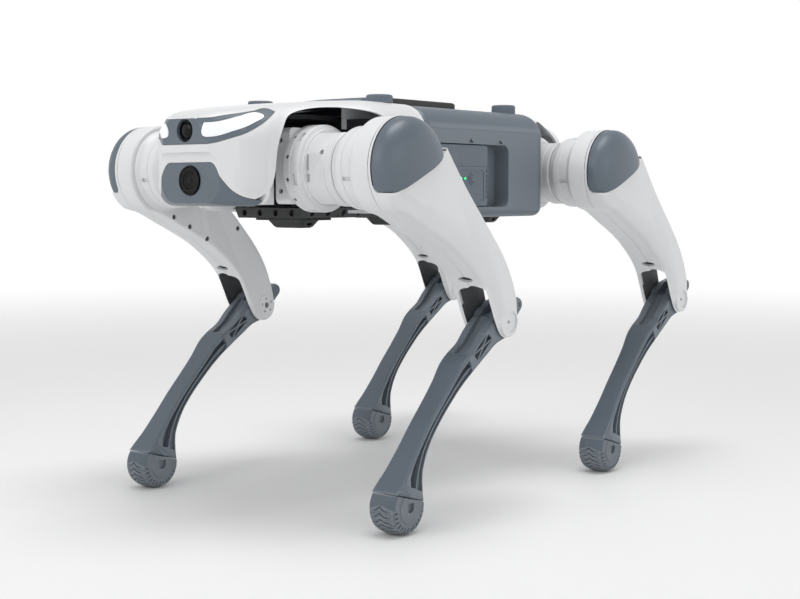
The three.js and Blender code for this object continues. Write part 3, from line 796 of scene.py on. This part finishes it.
def build_top():
    low, high = PLATE_Z
    wide = rounded_rect((-75, 88), (-38, 38), 9, 8)

    levels = [(low, 0), (high - 2.4, 0), (high - 1.0, 0.8), (high - 0.3, 2.0), (high, 3.6)]
    plate = skinned([[(x, y, z) for x, y in inset(wide, amount)] for z, amount in levels])
    start = FRAME_X + 4
    slope = [(start, high + 0.2), (80, 385.2), (90, 380.4), (95, 380.4), (95, 392), (start, 392)]
    cut(plate, prism_y(slope, (-50, 50)))
    front = cut(copy_of(plate), box((-90, FRAME_X), (-50, 50), (370, 400)))
    cut(plate, box((FRAME_X - GAP, 95), (-50, 50), (370, 400)))
    ribs = [box((-64 + k * 6, -61.4 + k * 6), (-33, 33), (high - 1.1, high + 1)) for k in range(18)]
    cut(plate, *ribs)
    place(eased(plate, 0.35), "top_plate_cover", TRUNK, BLACK, "trunk", "top_plate")
    tray = box((56, 74), (-24, 24), (384.4, 392))
    cut(front, tray)
    place(eased(front, 0.6), "top_plate_front_frame", TRUNK, GREY, "trunk", "top_plate")


BUMPER_X, BUMPER_Y, BUMPER_TOP = 102.5, 76, 385.6


def build_bumpers():
    for end_name, end in ENDS.items():
        foot = 380.2 if end > 0 else 378.4
        levels = [(foot - 2.4, 0), (foot, 0), (BUMPER_TOP - 1.8, 0), (BUMPER_TOP - 0.8, -0.35)]
        levels += [(BUMPER_TOP - 0.2, -1.1), (BUMPER_TOP, -2.2)]
        for side_name, side in SIDES.items():
            rings = []
            for z, grow in levels:
                outline = oval(end * BUMPER_X, side * BUMPER_Y, 13 + grow, 12 + grow)
                rings.append([(x, y, z) for x, y in outline])
            label = f"{end_name}_{side_name}"
            place(skinned(rings), f"{label}_bumper_pad", TRUNK, BUMPER, "trunk", f"{label}_top_bumper")


PAD_X = {"front": (130, 146), "middle": (-16, 0), "rear": (-175, -159)}


POCKET_Z, POCKET_R = 276.4, 3.3


def build_belly():
    outline = [(-38, 271.6), (38, 271.6), (43, 281.2), (-43, 281.2)]
    tray = prism_x(outline, (-215, 173))
    # rows of hexagon pockets along both sides and across the front
    pockets = []
    for k in range(17):
        cell = hexagon(-196 + k * 22, POCKET_Z, POCKET_R)
        for side in (1, -1):
            pockets.append(skinned([[(px, side * y, pz) for px, pz in cell] for y in (37.6, 52)]))
    pockets += [prism_x(hexagon(-30 + k * 20, POCKET_Z, POCKET_R), (169.5, 180)) for k in range(4)]
    gaps = [box((x, x + 2), (-60, 60), (270, 274)) for x in (118, -20)]
    cut(tray, *pockets, *gaps)
    place(eased(tray, 0.4), "belly_tray_floor", TRUNK, BLACK, "trunk", "belly_tray")
    for label, (x0, x1) in PAD_X.items():
        rings = []
        for z, out in ((271.3, 6), (263.4, 0.8), (262.5, -0.2), (262, -1.6)):
            outline = rounded_rect((x0 - out, x1 + out), (-18 - out, 18 + out), 3.5)
            rings.append([(x, y, z) for x, y in outline])
        pad = join(skinned(rings), box((x0 - 12, x1 + 12), (-30, 30), (269.3, 271.3)))
        x = (x0 + x1) / 2
        slots = [box((x - 3, x + 3), on_side(side, 15, 30), (264.6, 266.8)) for side in (1, -1)]
        pad = eased(cut(pad, *slots), 0.5)
        place(pad, f"{label}_rest_pad_foot", TRUNK, BLACK, "trunk", f"{label}_rest_pad")


build_middle()
build_battery()
build_top()
build_bumpers()
build_belly()


# ---------------------------------------------------------------- legs


def layered(outline, levels):
    """A solid from copies of an outline at (y, inset) levels."""
    return skinned([[(x, y, z) for x, z in inset(outline, amount)] for y, amount in levels])


def thigh_line():
    front = [(35.5, 22), (24.5, 51), (16, 74), (9.5, 94), (5.5, 114), (3, 136), (4, 152), (9, 168)]
    front += [(14.5, 184)]
    rear = [(-27, 179), (-32, 163), (-35, 145), (-36.2, 120), (-36.5, 89), (-37.2, 60), (-39.5, 32)]
    hip = [(t, -s) for t, s in arc(0, 0, 44, 200, -12, 14)]
    knee = [(1.5 + t, 199 - s) for t, s in arc(0, 0, 16, 0, -150, 7)]
    return curve(down(hip + front + knee + rear), step=3.0)


THIGH_LINE = thigh_line()
CAP_EDGE = curve(
    [(60, -34), (50, -22), (43, -13.5), (38, -8.5), (32, -5), (22, -1.8), (6, 3.7), (-10, 9.8), (-21, 13.3),
     (-33, 15.5), (-50, 14)],
    closed=False,
)


def cap_region(margin, span):
    """Everything above the cap's edge, with that edge moved down by a margin and its front corner rounded."""
    edge = [(t, s + margin) for t, s in CAP_EDGE]
    region = prism_y(down([(80, -80), (80, margin - 60), *edge, (-80, margin + 10), (-80, -80)]), span)
    r = CAP_CORNER_R
    low, y = 11.5 - margin, CAP_Y[0] - GAP
    rounding = arc(y + r, low + r, r, 180, 270, 8)
    corner = prism_x([(y - 5, low + r), *rounding, (y + r, low - 9), (y - 5, low - 9)], (28, 60))
    return cut(region, corner)


def crisp_rear(outline, amount):
    """The outline moved inwards, in full at the front of the thigh and by a tenth at the rear."""
    soft, crisp = inset(outline, amount), inset(outline, amount / 10)
    turned = []
    for (t, _), a, b in zip(outline, soft, crisp):
        w = min(max((t + 10) / 24 + 0.5, 0), 1)
        turned.append((b[0] + (a[0] - b[0]) * w, b[1] + (a[1] - b[1]) * w))
    return turned


def thigh_hollow():
    return layered(THIGH_LINE, [(THIGH_Y[0] + FORK_ARM, WALL), (THIGH_Y[1] - FORK_ARM, WALL)])


def fork_gap():
    """The opening between the fork arms, arched at its top, with a small slot just above it."""
    low, high = THIGH_Y[0] + FORK_ARM, THIGH_Y[1] - FORK_ARM
    side_view = [(-20, 176), (-20, 158), *arc(-14, 152, 6, 180, 270, 6), (70, 138), (70, 240), (-70, 240)]
    open_part = prism_y(down(side_view + [(-70, 176)]), (low, high))
    join(open_part, prism_y(down([(-70, 158), (-15, 158), (-15, 230), (-70, 230)]), (149.5, 161.5)))
    r = 13
    turns = [radians(15 * k) for k in range(7)]
    arch = [(low, -240), (low, -156 - r)]
    arch += [(low + r - r * cos(a), -150 - 0.6 * r + 0.6 * r * sin(a)) for a in turns[1:]]
    arch += [(high - r + r * sin(a), -147 - 0.6 * r + 0.6 * r * cos(a)) for a in turns]
    arch += [(high, -240)]
    slot = prism_x(oval(SEAM_Y, -139.5, 8, 3.4, 24), (-12, 40))
    return join(common(open_part, prism_x(arch, (-80, 80))), slot)


def knee_bore():
    return rod_y(5 + GAP, (120, 190), 0, -THIGH_LENGTH)


def pits(places, radius, span, sides=20):
    return [rod_y(radius, span, t, -s, sides) for t, s in places]


THIGH_SCREWS = [(24.5, 40), (16.5, 62), (8.5, 88), (-29, 112)]


def in_shaded_thigh_hollow(point):
    """True on the faces that line the hollow thigh and its knee fork: white plastic in shade, coloured dark
    grey there as painted shade.
    """
    if not THIGH_Y[0] + FORK_ARM - 0.2 < point.y < THIGH_Y[1] - FORK_ARM + 0.2:
        return False
    return inside_outline(inset(THIGH_LINE, WALL - 0.5), point.x, point.z)


def inside_outline(outline, x, y):
    crossings = 0
    for (x0, y0), (x1, y1) in zip(outline, outline[1:] + outline[:1]):
        if (y0 > y) != (y1 > y) and x < x0 + (y - y0) * (x1 - x0) / (y1 - y0):
            crossings += 1
    return crossings % 2 == 1


def draw_thigh_frame():
    inner, seam = THIGH_Y[0], SEAM_Y - GAP / 2
    levels = [(inner, 2.6), (inner + 0.35, 1.4), (inner + 1.2, 0.5), (inner + 2.4, 0)]
    levels += [(seam - 0.5, 0), (seam, 0.5)]
    half = layered(THIGH_LINE, levels)
    profile = [(0, 107.4), (31, 107.4), (32.6, 108.2), (33.2, 109.6), (33.2, 110.4), (34.4, 111.4)]
    profile += [(36, 114.2), (36.5, 116), (36.5, 121.4), (35.9, 121.8), (35.9, 122.6), (36.5, 123)]
    profile += [(36.5, 131.2), (37.4, 132.4), (38.6, 133.6), (39.4, 135.2), (39.6, 138), (0, 138)]
    body = join(half, lathe(profile, sides=120))
    slots = [spun(box((-1.8, 1.8), (122, 131), (34.2, 40)), radians(d)) for d in (60, 150, 240, 330)]
    sinks = pits(THIGH_SCREWS, 2.7, (inner - 1, inner + 2.2))
    cut(body, thigh_hollow(), fork_gap(), knee_bore(), *slots, *sinks)
    # the knee's bearing plate on the inner face, with its ring of five holes
    plate = cut(rod_y(11.5, (inner - 1, inner + 1), 0, -THIGH_LENGTH, 64),
                rod_y(3.2, (inner - 3, inner + 3), 0, -THIGH_LENGTH, 32))
    ring = [(t, THIGH_LENGTH + s) for t, s in (polar(7.2, 72 * k) for k in range(5))]
    join(body, plate)
    cut(body, *pits(ring, 1.5, (inner - 2, inner + 0.8)))
    return eased(body, 0.35)


def draw_thigh_cover():
    outer, seam = THIGH_Y[1], SEAM_Y + GAP / 2
    levels = [(seam, 0.5), (seam + 0.5, 0), (outer - 10, 0), (outer - 6.4, 0.7), (outer - 3.6, 2.2),
              (outer - 1.7, 4.6), (outer - 0.6, 7.4), (outer - 0.1, 10.4), (outer, 12.4)]
    body = skinned([[(t, y, z) for t, z in crisp_rear(THIGH_LINE, amount)] for y, amount in levels])
    # a boss round the knee keeps the outer face flat there
    boss = oval(1.5, -199, 13.6, 13.6)
    join(body, layered(boss, [(outer - 8, 0), (outer - 1.2, 0), (outer - 0.3, 0.7), (outer, 1.8)]))
    dimple = rod_y(9.8, (outer - 1.8, outer + 1), 0, -THIGH_LENGTH, 64)
    axle_bore = rod_y(5 + GAP, (120, outer - 2.5), 0, -THIGH_LENGTH)
    cut(body, cap_region(0.8, (CAP_Y[0] - GAP, 200)), thigh_hollow(), fork_gap(), axle_bore, dimple)
    return eased(body, 0.35)


def draw_cap():
    # how far in from the rim the crown is, at heights across the robot
    crown = ((0, 166), (0.5, 169), (1.8, 172), (4, 175), (7, 177.8), (11, 180.2), (16, 182.2), (22, 183.6),
             (29, 184.5), (37, 184.9))
    profile = [(0, CAP_Y[0]), (CAP_R - 0.6, CAP_Y[0]), (CAP_R, CAP_Y[0] + 0.6)]
    profile += [(CAP_R - inward, y) for inward, y in crown] + [(0, CAP_Y[1])]
    dome = lathe(profile, sides=120)
    hollow = rod_y(CAP_R - 8, (150, 172), 0, 0)
    common(dome, cap_region(0, (CAP_Y[0] - GAP, 200)))
    return eased(cut(dome, hollow), 0.9)


RING_SCREWS = [d for d in range(-75, 256, 30) if d != 165]
RING_SCREW_Y = 61
BLOCK_SCREWS = [(46, 25), (46, -20)]
BLOCK_SCREW_R = 2.2


def draw_hip_link():
    flange = lathe([(0, -40.5), (28.6, -40.5), (30, -39.4), (30, -31), (29, -30), (29, -28.5), (0, -28.5)],
                   0, 0, 96, "x", ROLL_Y)
    bridge = box((-30, 5), (44, 84), (-26, 26))
    block = prism_y(rounded_rect((-30, 30), (-31.5, 36), 5), (40, 57))
    ring = lathe(
        [(0, 54), (35, 54), (36.6, 55), (37.2, 56), (38.4, 56.6), (39, 57.8), (39, 64.2), (38.3, 64.8),
         (38.3, 65.8), (39, 66.4), (39, 72.6), (38.4, 73.8), (36.8, 74.6), (35.4, 75), (35.4, 76.4),
         (34.4, 77.2), (0, 77.2)],
        sides=120,
    )
    case = lathe([(0, 73), (33.5, 73), (33.5, 98.4), (32.9, 98.9), (32.9, 99.9), (33.5, 100.4), (33.5, 105.6),
                  (32.4, 107), (0, 107)], sides=120)
    flats = [box((-60, 60), (77, 108), (31, 60)), box((-60, 60), (77, 96.5), (-60, -31.4)),
             box((31.2, 60), (79, 96.5), (-13, 13))]
    body = join(flange, bridge, block, ring, cut(case, *flats))
    holes = []
    for degrees in RING_SCREWS:
        turn = -radians(degrees)
        holes.append(spun(rod_x(1.9, (36.6, 41), RING_SCREW_Y, 0, 20), turn))
        if degrees % 60 == 45:
            holes.append(spun(box((37, 41), (67.6, 71.4), (-5.2, 5.2)), turn))
    # screw holes and one cable slot in the block's front and roof
    holes += [rod_x(BLOCK_SCREW_R + 0.2, (26, 31), y, z, 24) for y, z in BLOCK_SCREWS]
    holes += [box((-5, 5), (84, 92), (29.4, 32))]
    # windows cut in the case where its cables come out
    holes += [box((28.5, 35), (78.6, 81.4), (-12, -5)), box((28.5, 35), (78.6, 80.4), (-2, 12))]
    holes += [rod_x(2.3, (26, 40), 95, 13.5, 24)]
    cut(body, *holes)
    return eased(body, 0.4)


def screw_head(radius, matrix, depth=1.0):
    """A hexagon-socket screw head facing +Y, moved to where it goes."""
    head = lathe([(0, -depth), (radius, -depth), (radius, -0.25), (radius - 0.25, 0), (0, 0)], 0, 0, 24)
    socket = prism_y(hexagon(0, 0, radius * 0.55), (-depth * 0.8, 1))
    cut(head, socket)
    head.data.transform(matrix)
    return head


def gathered(parts):
    """Separate solids kept together in one mesh."""
    mesh = bpy.data.meshes.new("solid")
    with opened(mesh) as built:
        for part in parts:
            built.from_mesh(part.data)
            drop(part)
    return show("solid", mesh)


def draw_hip_screws():
    facing_x = Matrix.Rotation(-pi / 2, 4, "Z")
    heads = []
    for degrees in RING_SCREWS:
        turn = Matrix.Rotation(-radians(degrees), 4, "Y")
        heads.append(screw_head(1.75, turn @ Matrix.Translation((37.7, RING_SCREW_Y, 0)) @ facing_x))
    for y, z in BLOCK_SCREWS:
        heads.append(screw_head(BLOCK_SCREW_R, Matrix.Translation((27.4, y, z)) @ facing_x))
    return gathered(heads)


def draw_thigh_screws():
    facing_in = Matrix.Rotation(pi, 4, "Z")
    inner, outer = THIGH_Y
    heads = [screw_head(2.5, Matrix.Translation((t, inner + 1.2, -s)) @ facing_in) for t, s in THIGH_SCREWS]
    heads.append(screw_head(1.5, Matrix.Translation((1.6, outer - 1.5, -THIGH_LENGTH + 1.5)), 0.8))
    return gathered(heads)


SHANK_FRONT = [(8, -11), (14, 6), (17, 25), (17.5, 42), (22, 58), (24.5, 72), (23.8, 92), (24, 112),
               (24.5, 140), (23.2, 168), (22, 192), FOOT_SEAM[0]]
SHANK_REAR = [FOOT_SEAM[1], (-6.4, 186), (2.8, 175), (8, 161), (11, 147), (11.6, 118), (8.5, 76), (4, 55),
              (0, 40), (-4, 25), (-13, 9)]
SHANK_LINE = curve(down(SHANK_FRONT + SHANK_REAR), corners=(0, 11, 12, 22), step=3.0)
# how wide the shank is across, as a share of its width at the knee, at distances down its length
WIDTHS = ((0, 1), (60, 1), (95, 0.86), (130, 0.8), (160, 0.82), (185, 0.93), (205, 1.06), (230, 1.07))
EAR_R = 6.4
EAR = polar(CRANK_R, CRANK_ANGLE - KNEE_BEND)


def rounded_levels(span, r=3.4):
    low, high = span
    steps = [(0, r), (0.2 * r, 0.4 * r), (0.5 * r, 0.13 * r), (r, 0)]
    return [(low + a, m) for a, m in steps] + [(high - a, m) for a, m in reversed(steps)]


def waisted(obj):
    """Narrows the shank across; its faces are first parted every few millimetres."""
    along, shares = zip(*WIDTHS)
    with opened(obj.data) as built:
        for z in range(-212, -58, 5):
            geometry = built.verts[:] + built.edges[:] + built.faces[:]
            bmesh.ops.bisect_plane(built, geom=geometry, plane_co=(0, 0, z), plane_no=(0, 0, 1), dist=0.02)
        for vertex in built.verts:
            share = monotone(along, shares, min(max(-vertex.co.z, 0), along[-1]))
            vertex.co.y = LEG_Y + (vertex.co.y - LEG_Y) * share
    return obj


def draw_shank():
    blade = layered(SHANK_LINE, rounded_levels(SHANK_Y, 2.6))
    pt, ps = EAR
    boss = layered(arc(pt, -ps, EAR_R, 0, 360 - 7.5, 47), rounded_levels(SHANK_Y, 1.6))
    neck = layered(down([(pt - EAR_R, ps - 1), (pt + 5, ps - 5), (9, -16), (11, -4), (-10, 5), (-12, -8)]),
                   rounded_levels(SHANK_Y, 1.6))
    hub = rod_y(13, SHANK_Y, 0, 0, 64)
    body = join(blade, boss, neck, hub)
    inside = (ROD_Y[0] - 0.7, ROD_Y[1] + 0.7)
    channel = prism_y(down([(-20, -42), (-9.3, -24.1), (36, 38), (60, 20), (40, -70), (-30, -70)]), inside)
    room = rod_y(7.2, inside, pt, -ps)
    cut(body, channel, room)
    # long flute down each side, parted by a rib: a deep cell in front and a shallow one behind
    front = [(19.4, 62), (21.2, 76), (20.6, 92), (20.6, 118), (21, 140), (19.8, 162), (18.4, 181), (16, 190),
             (11, 196)]
    rib = [(12.5, 64), (15, 76), (16, 92), (17.2, 118), (17, 140), (14.6, 160), (10, 176), (5, 187),
           (2.5, 191.5)]
    behind = [(-5.2, 188.5), (-1, 184), (5.6, 175), (10.8, 161), (13.6, 146), (14.2, 118), (12.2, 92),
              (10.6, 78), (8.5, 68)]
    half_rib = 0.8
    deep_cell = front + [(t + half_rib, at) for t, at in reversed(rib)]
    shallow_cell = [(t - half_rib, at) for t, at in rib] + behind
    # truss window at the top of the blade: the four openings between two crossed webs
    frame_corners = [(4.6, 24), (14.6, 25), (18.6, 55.5), (8.4, 56)]
    crossing = (11.6, 40)
    truss = [[a, b, crossing] for a, b in zip(frame_corners, frame_corners[1:] + frame_corners[:1])]
    hollows = [(down(front + behind), 1), (down(shallow_cell), 3.2), (down(deep_cell), 8)]
    hollows += [(inset(down(window), 1.1), 5) for window in truss]
    recesses = []
    for side, face in ((1, SHANK_Y[1]), (-1, SHANK_Y[0])):
        for outline, depth in hollows:
            recesses.append(prism_y(outline, sorted((face + side, face - side * depth))))
    cut(body, *recesses)
    # channel down the top of the front edge
    slot = layered(down([(12, -2), (30, 22), (30, 60), (17.5, 56), (13.4, 38), (12.6, 24)]),
                   [(LEG_Y - 5.5, 0), (LEG_Y + 5.5, 0)])
    cut(body, slot)
    pin = rod_y(3, (SHANK_Y[0] + 2, SHANK_Y[1] - 2), pt, -ps)
    axle = rod_y(5, (THIGH_Y[0] + 1, THIGH_Y[1] - 2), 0, 0)
    join(body, pin, axle)
    cut(body, rod_y(2.6, (SHANK_Y[1] - 0.8, SHANK_Y[1] + 2), pt, -ps, 32))
    return eased(waisted(body), 0.35)


TREAD_ROWS = 16


def draw_foot():
    """A crowned tread with chevron grooves; its plain top block meets the shank along a slanting seam."""
    r, half, disc = FOOT_R, FOOT_HALF, 13.2
    flank = [(0, half), (disc, half), (disc + 0.4, half - 0.9), (r - 4.6, half - 0.9), (r - 3.4, half - 1.2),
             (r - 2.4, half - 2.2), (r - 1.2, 10), (r - 0.3, 6), (r, 2)]
    tread = lathe([(radius, -y) for radius, y in flank] + list(reversed(flank)), 0, 0, 144)
    turn = radians(KNEE_BEND - THIGH_LEAN)
    section_line = ((-0.75, -r - 2), (0.75, -r - 2), (0.75, -r + 2), (-0.75, -r + 2))
    grooves = []
    for row in range(TREAD_ROWS):
        angle = radians(-99 + 13 * row) + turn
        for sign in (1, -1):
            # each groove is one arm of a chevron in the middle band, then runs nearly straight to the flank
            path = ((-0.3 * sign, 0), (sign * 4.2, -3.2), (sign * 5.2, -3.2), (sign * (half + 1), -4.4))
            groove = skinned([[(x + lean, y, z) for x, z in section_line] for y, lean in path])
            # a short cut up the flank from the groove's outer end
            notch = box((-5.2, -3.8), on_side(sign, half - 2.4, half + 1), (-r - 2, -disc - 3.2))
            grooves += [spun(groove, angle), spun(notch, angle)]
    cut(tread, *grooves)
    tread.data.transform(Matrix.Translation((0, LEG_Y, -SHANK_LENGTH)))
    (t0, s0), (t1, s1) = FOOT_SEAM
    ahead, behind = 2 * t0 - t1, 2 * t1 - t0
    above = [(ahead, 2 * s0 - s1 + GAP), (behind, 2 * s1 - s0 + GAP), (behind, 100), (ahead, 100)]
    above = prism_y(down(above), (LEG_Y - 30, LEG_Y + 30))
    # a pocket in each side, flat along its top, just under the seam
    pockets = []
    for side in (1, -1):
        face = LEG_Y + side * half
        outline = arc(0, 0, 4.4, 180, 360, 12) + [(4.4, 4), (-4.4, 4)]
        pocket = prism_y(outline, sorted((face + side, face - side * 3)))
        spun(pocket, turn).data.transform(Matrix.Translation((-0.2, 0, -SHANK_LENGTH + 0.6)))
        pockets.append(pocket)
    return eased(cut(tread, above, *pockets), 0.3)


def draw_crank():
    t, s = polar(CRANK_R, CRANK_ANGLE)
    low, high = CRANK_Y
    hub = lathe([(0, low), (10.4, low), (11, low + 0.6), (11, high - 0.6), (10.4, high), (0, high)], sides=64)
    eye = rod_y(7, CRANK_Y, t, -s)
    arm = spun(box((-6, 6), CRANK_Y, (-CRANK_R / 2, CRANK_R / 2)), -radians(CRANK_ANGLE))
    arm.data.transform(Matrix.Translation((t / 2, 0, -s / 2)))
    pin = rod_y(3, (CRANK_Y[1] - 1, ROD_Y[1]), t, -s, 32)
    return eased(join(hub, eye, arm, pin), 0.5)


def draw_rod():
    t, s = polar(CRANK_R, CRANK_ANGLE)
    eyes = [rod_y(6.2, ROD_Y, t, -s - along) for along in (0, THIGH_LENGTH)]
    bores = [rod_y(3 + GAP, (140, 170), t, -s - along, 32) for along in (0, THIGH_LENGTH)]
    bar = box((t - 2.8, t + 2.8), ROD_Y, (-s - THIGH_LENGTH, -s))
    body = cut(join(bar, *eyes), *bores)
    waist = [box((t - 4, t + 4), span, (-s - THIGH_LENGTH + 14, -s - 14))
             for span in ((ROD_Y[0] - 1, ROD_Y[0] + 1.4), (ROD_Y[1] - 1.4, ROD_Y[1] + 1))]
    return eased(cut(body, *waist), 0.5)


def build_legs():
    drawings = {
        "hip_link": (draw_hip_link(), WHITE, "hip"),
        "thigh_frame": (draw_thigh_frame(), WHITE, "thigh"),
        "thigh_cover": (draw_thigh_cover(), WHITE, "thigh"),
        "thigh_cap": (draw_cap(), GREY, "thigh"),
        "knee_crank": (draw_crank(), METAL, "crank"),
        "push_rod": (draw_rod(), METAL, "rod"),
        "shank": (draw_shank(), GREY, "shank"),
        "foot": (draw_foot(), RUBBER, "shank"),
    }
    hip_screws, thigh_screws = draw_hip_screws(), draw_thigh_screws()
    for end_name, end in ENDS.items():
        for side_name, side in SIDES.items():
            label = f"{end_name}_{side_name}"
            hip = TRUNK @ Matrix.Translation((end * HIP_X, 0, HIP_Z)) @ Matrix.Diagonal((1, side, 1, 1))
            link = hip @ Matrix.Diagonal((end, 1, 1, 1))
            thigh = hip @ Matrix.Rotation(radians(THIGH_LEAN), 4, "Y")
            knee = thigh @ Matrix.Translation((0, 0, -THIGH_LENGTH))
            lower = knee @ Matrix.Rotation(-radians(KNEE_BEND), 4, "Y")
            frames = {"hip": link, "thigh": thigh, "crank": thigh, "rod": thigh, "shank": lower}
            for node, (drawing, material, body) in drawings.items():
                # the hollow thigh's lining is white plastic coloured dark grey as painted shade
                painted_shade = in_shaded_thigh_hollow if node in ("thigh_frame", "thigh_cover") else None
                place(drawing, f"{label}_{node}_part", frames[body], material, f"{label}_{body}",
                      f"{label}_{node}", painted_shade=painted_shade)
            place(hip_screws, f"{label}_hip_screws", link, SCREW, f"{label}_hip")
            place(thigh_screws, f"{label}_thigh_screws", thigh, SCREW, f"{label}_thigh")


build_legs()


# ---------------------------------------------------------------- studio


# radius and height of the floor, whose rim rises far away so that there is no horizon line
FLOOR = [(0.01, 0.0), (1.5, 0.0), (4.0, 0.0), (7.0, 0.0), (9.0, 0.35), (10.6, 1.4), (11.6, 3.2), (12.0, 6.0)]
FLOOR_SIDES = 96
GLOW_FROM, GLOW_TO, GLOW = 0.7, 3.4, 0.42
WORLD_LIGHT = 0.5
# place, target, size and power of each soft lamp
LAMPS = {
    "overhead": ((0.1, 0.2, 2.0), (0, 0, 0.2), (1.1, 0.8), 17),
    "front": ((2.0, -0.5, 1.3), (0, 0, 0.25), (1.0, 1.0), 7.5),
    "side": ((0.3, 2.2, 1.0), (0, 0, 0.25), (1.2, 0.8), 2.5),
}


def add_floor():
    vertices = []
    for radius, height in FLOOR:
        vertices += [(x, y, height) for x, y in oval(0, 0, radius, radius, FLOOR_SIDES)]
    mesh = bpy.data.meshes.new("studio_floor")
    mesh.from_pydata(vertices, [], bands(len(FLOOR), FLOOR_SIDES) + [tuple(range(FLOOR_SIDES))])
    mesh.shade_smooth()
    floor = show("studio_floor", mesh)
    material, tree, shader = new_material("studio_paper", (0.86, 0.86, 0.86), 0.6)
    space = texture_space(tree)
    # the far floor and the backdrop are lit by their own lamps, drawn as a glow that grows with distance
    distance = add_node(tree, "ShaderNodeVectorMath", {0: space}, operation="LENGTH").outputs["Value"]
    glow_range = {"From Min": GLOW_FROM, "From Max": GLOW_TO, "To Max": GLOW, "Value": distance}
    glow = add_node(tree, "ShaderNodeMapRange", glow_range, interpolation_type="SMOOTHSTEP")
    set_sockets(tree, shader, {
        "Roughness": spread(tree, noise(tree, space, 220.0), 0.55, 0.68),
        "Emission Color": (1, 1, 1, 1),
        "Emission Strength": glow.outputs["Result"],
    })
    mesh.materials.append(material)


def add_area(name, at, target, size, energy):
    lamp = bpy.data.lights.new(name, "AREA")
    lamp.shape = "RECTANGLE"
    lamp.size, lamp.size_y = size
    lamp.energy = energy
    made = show(name, lamp)
    made.location = at
    made.rotation_euler = (Vector(at) - Vector(target)).to_track_quat("Z", "Y").to_euler()


def add_studio():
    add_floor()
    world = bpy.data.worlds.new("studio")
    bpy.context.scene.world = world
    world.use_nodes = True
    tree = world.node_tree
    set_sockets(tree, tree.nodes["Background"], {"Color": (1, 1, 1, 1), "Strength": WORLD_LIGHT})
    for name, lamp in LAMPS.items():
        add_area(name, *lamp)
    bpy.context.scene.view_settings.view_transform = "Standard"


add_studio()
sweep_up()
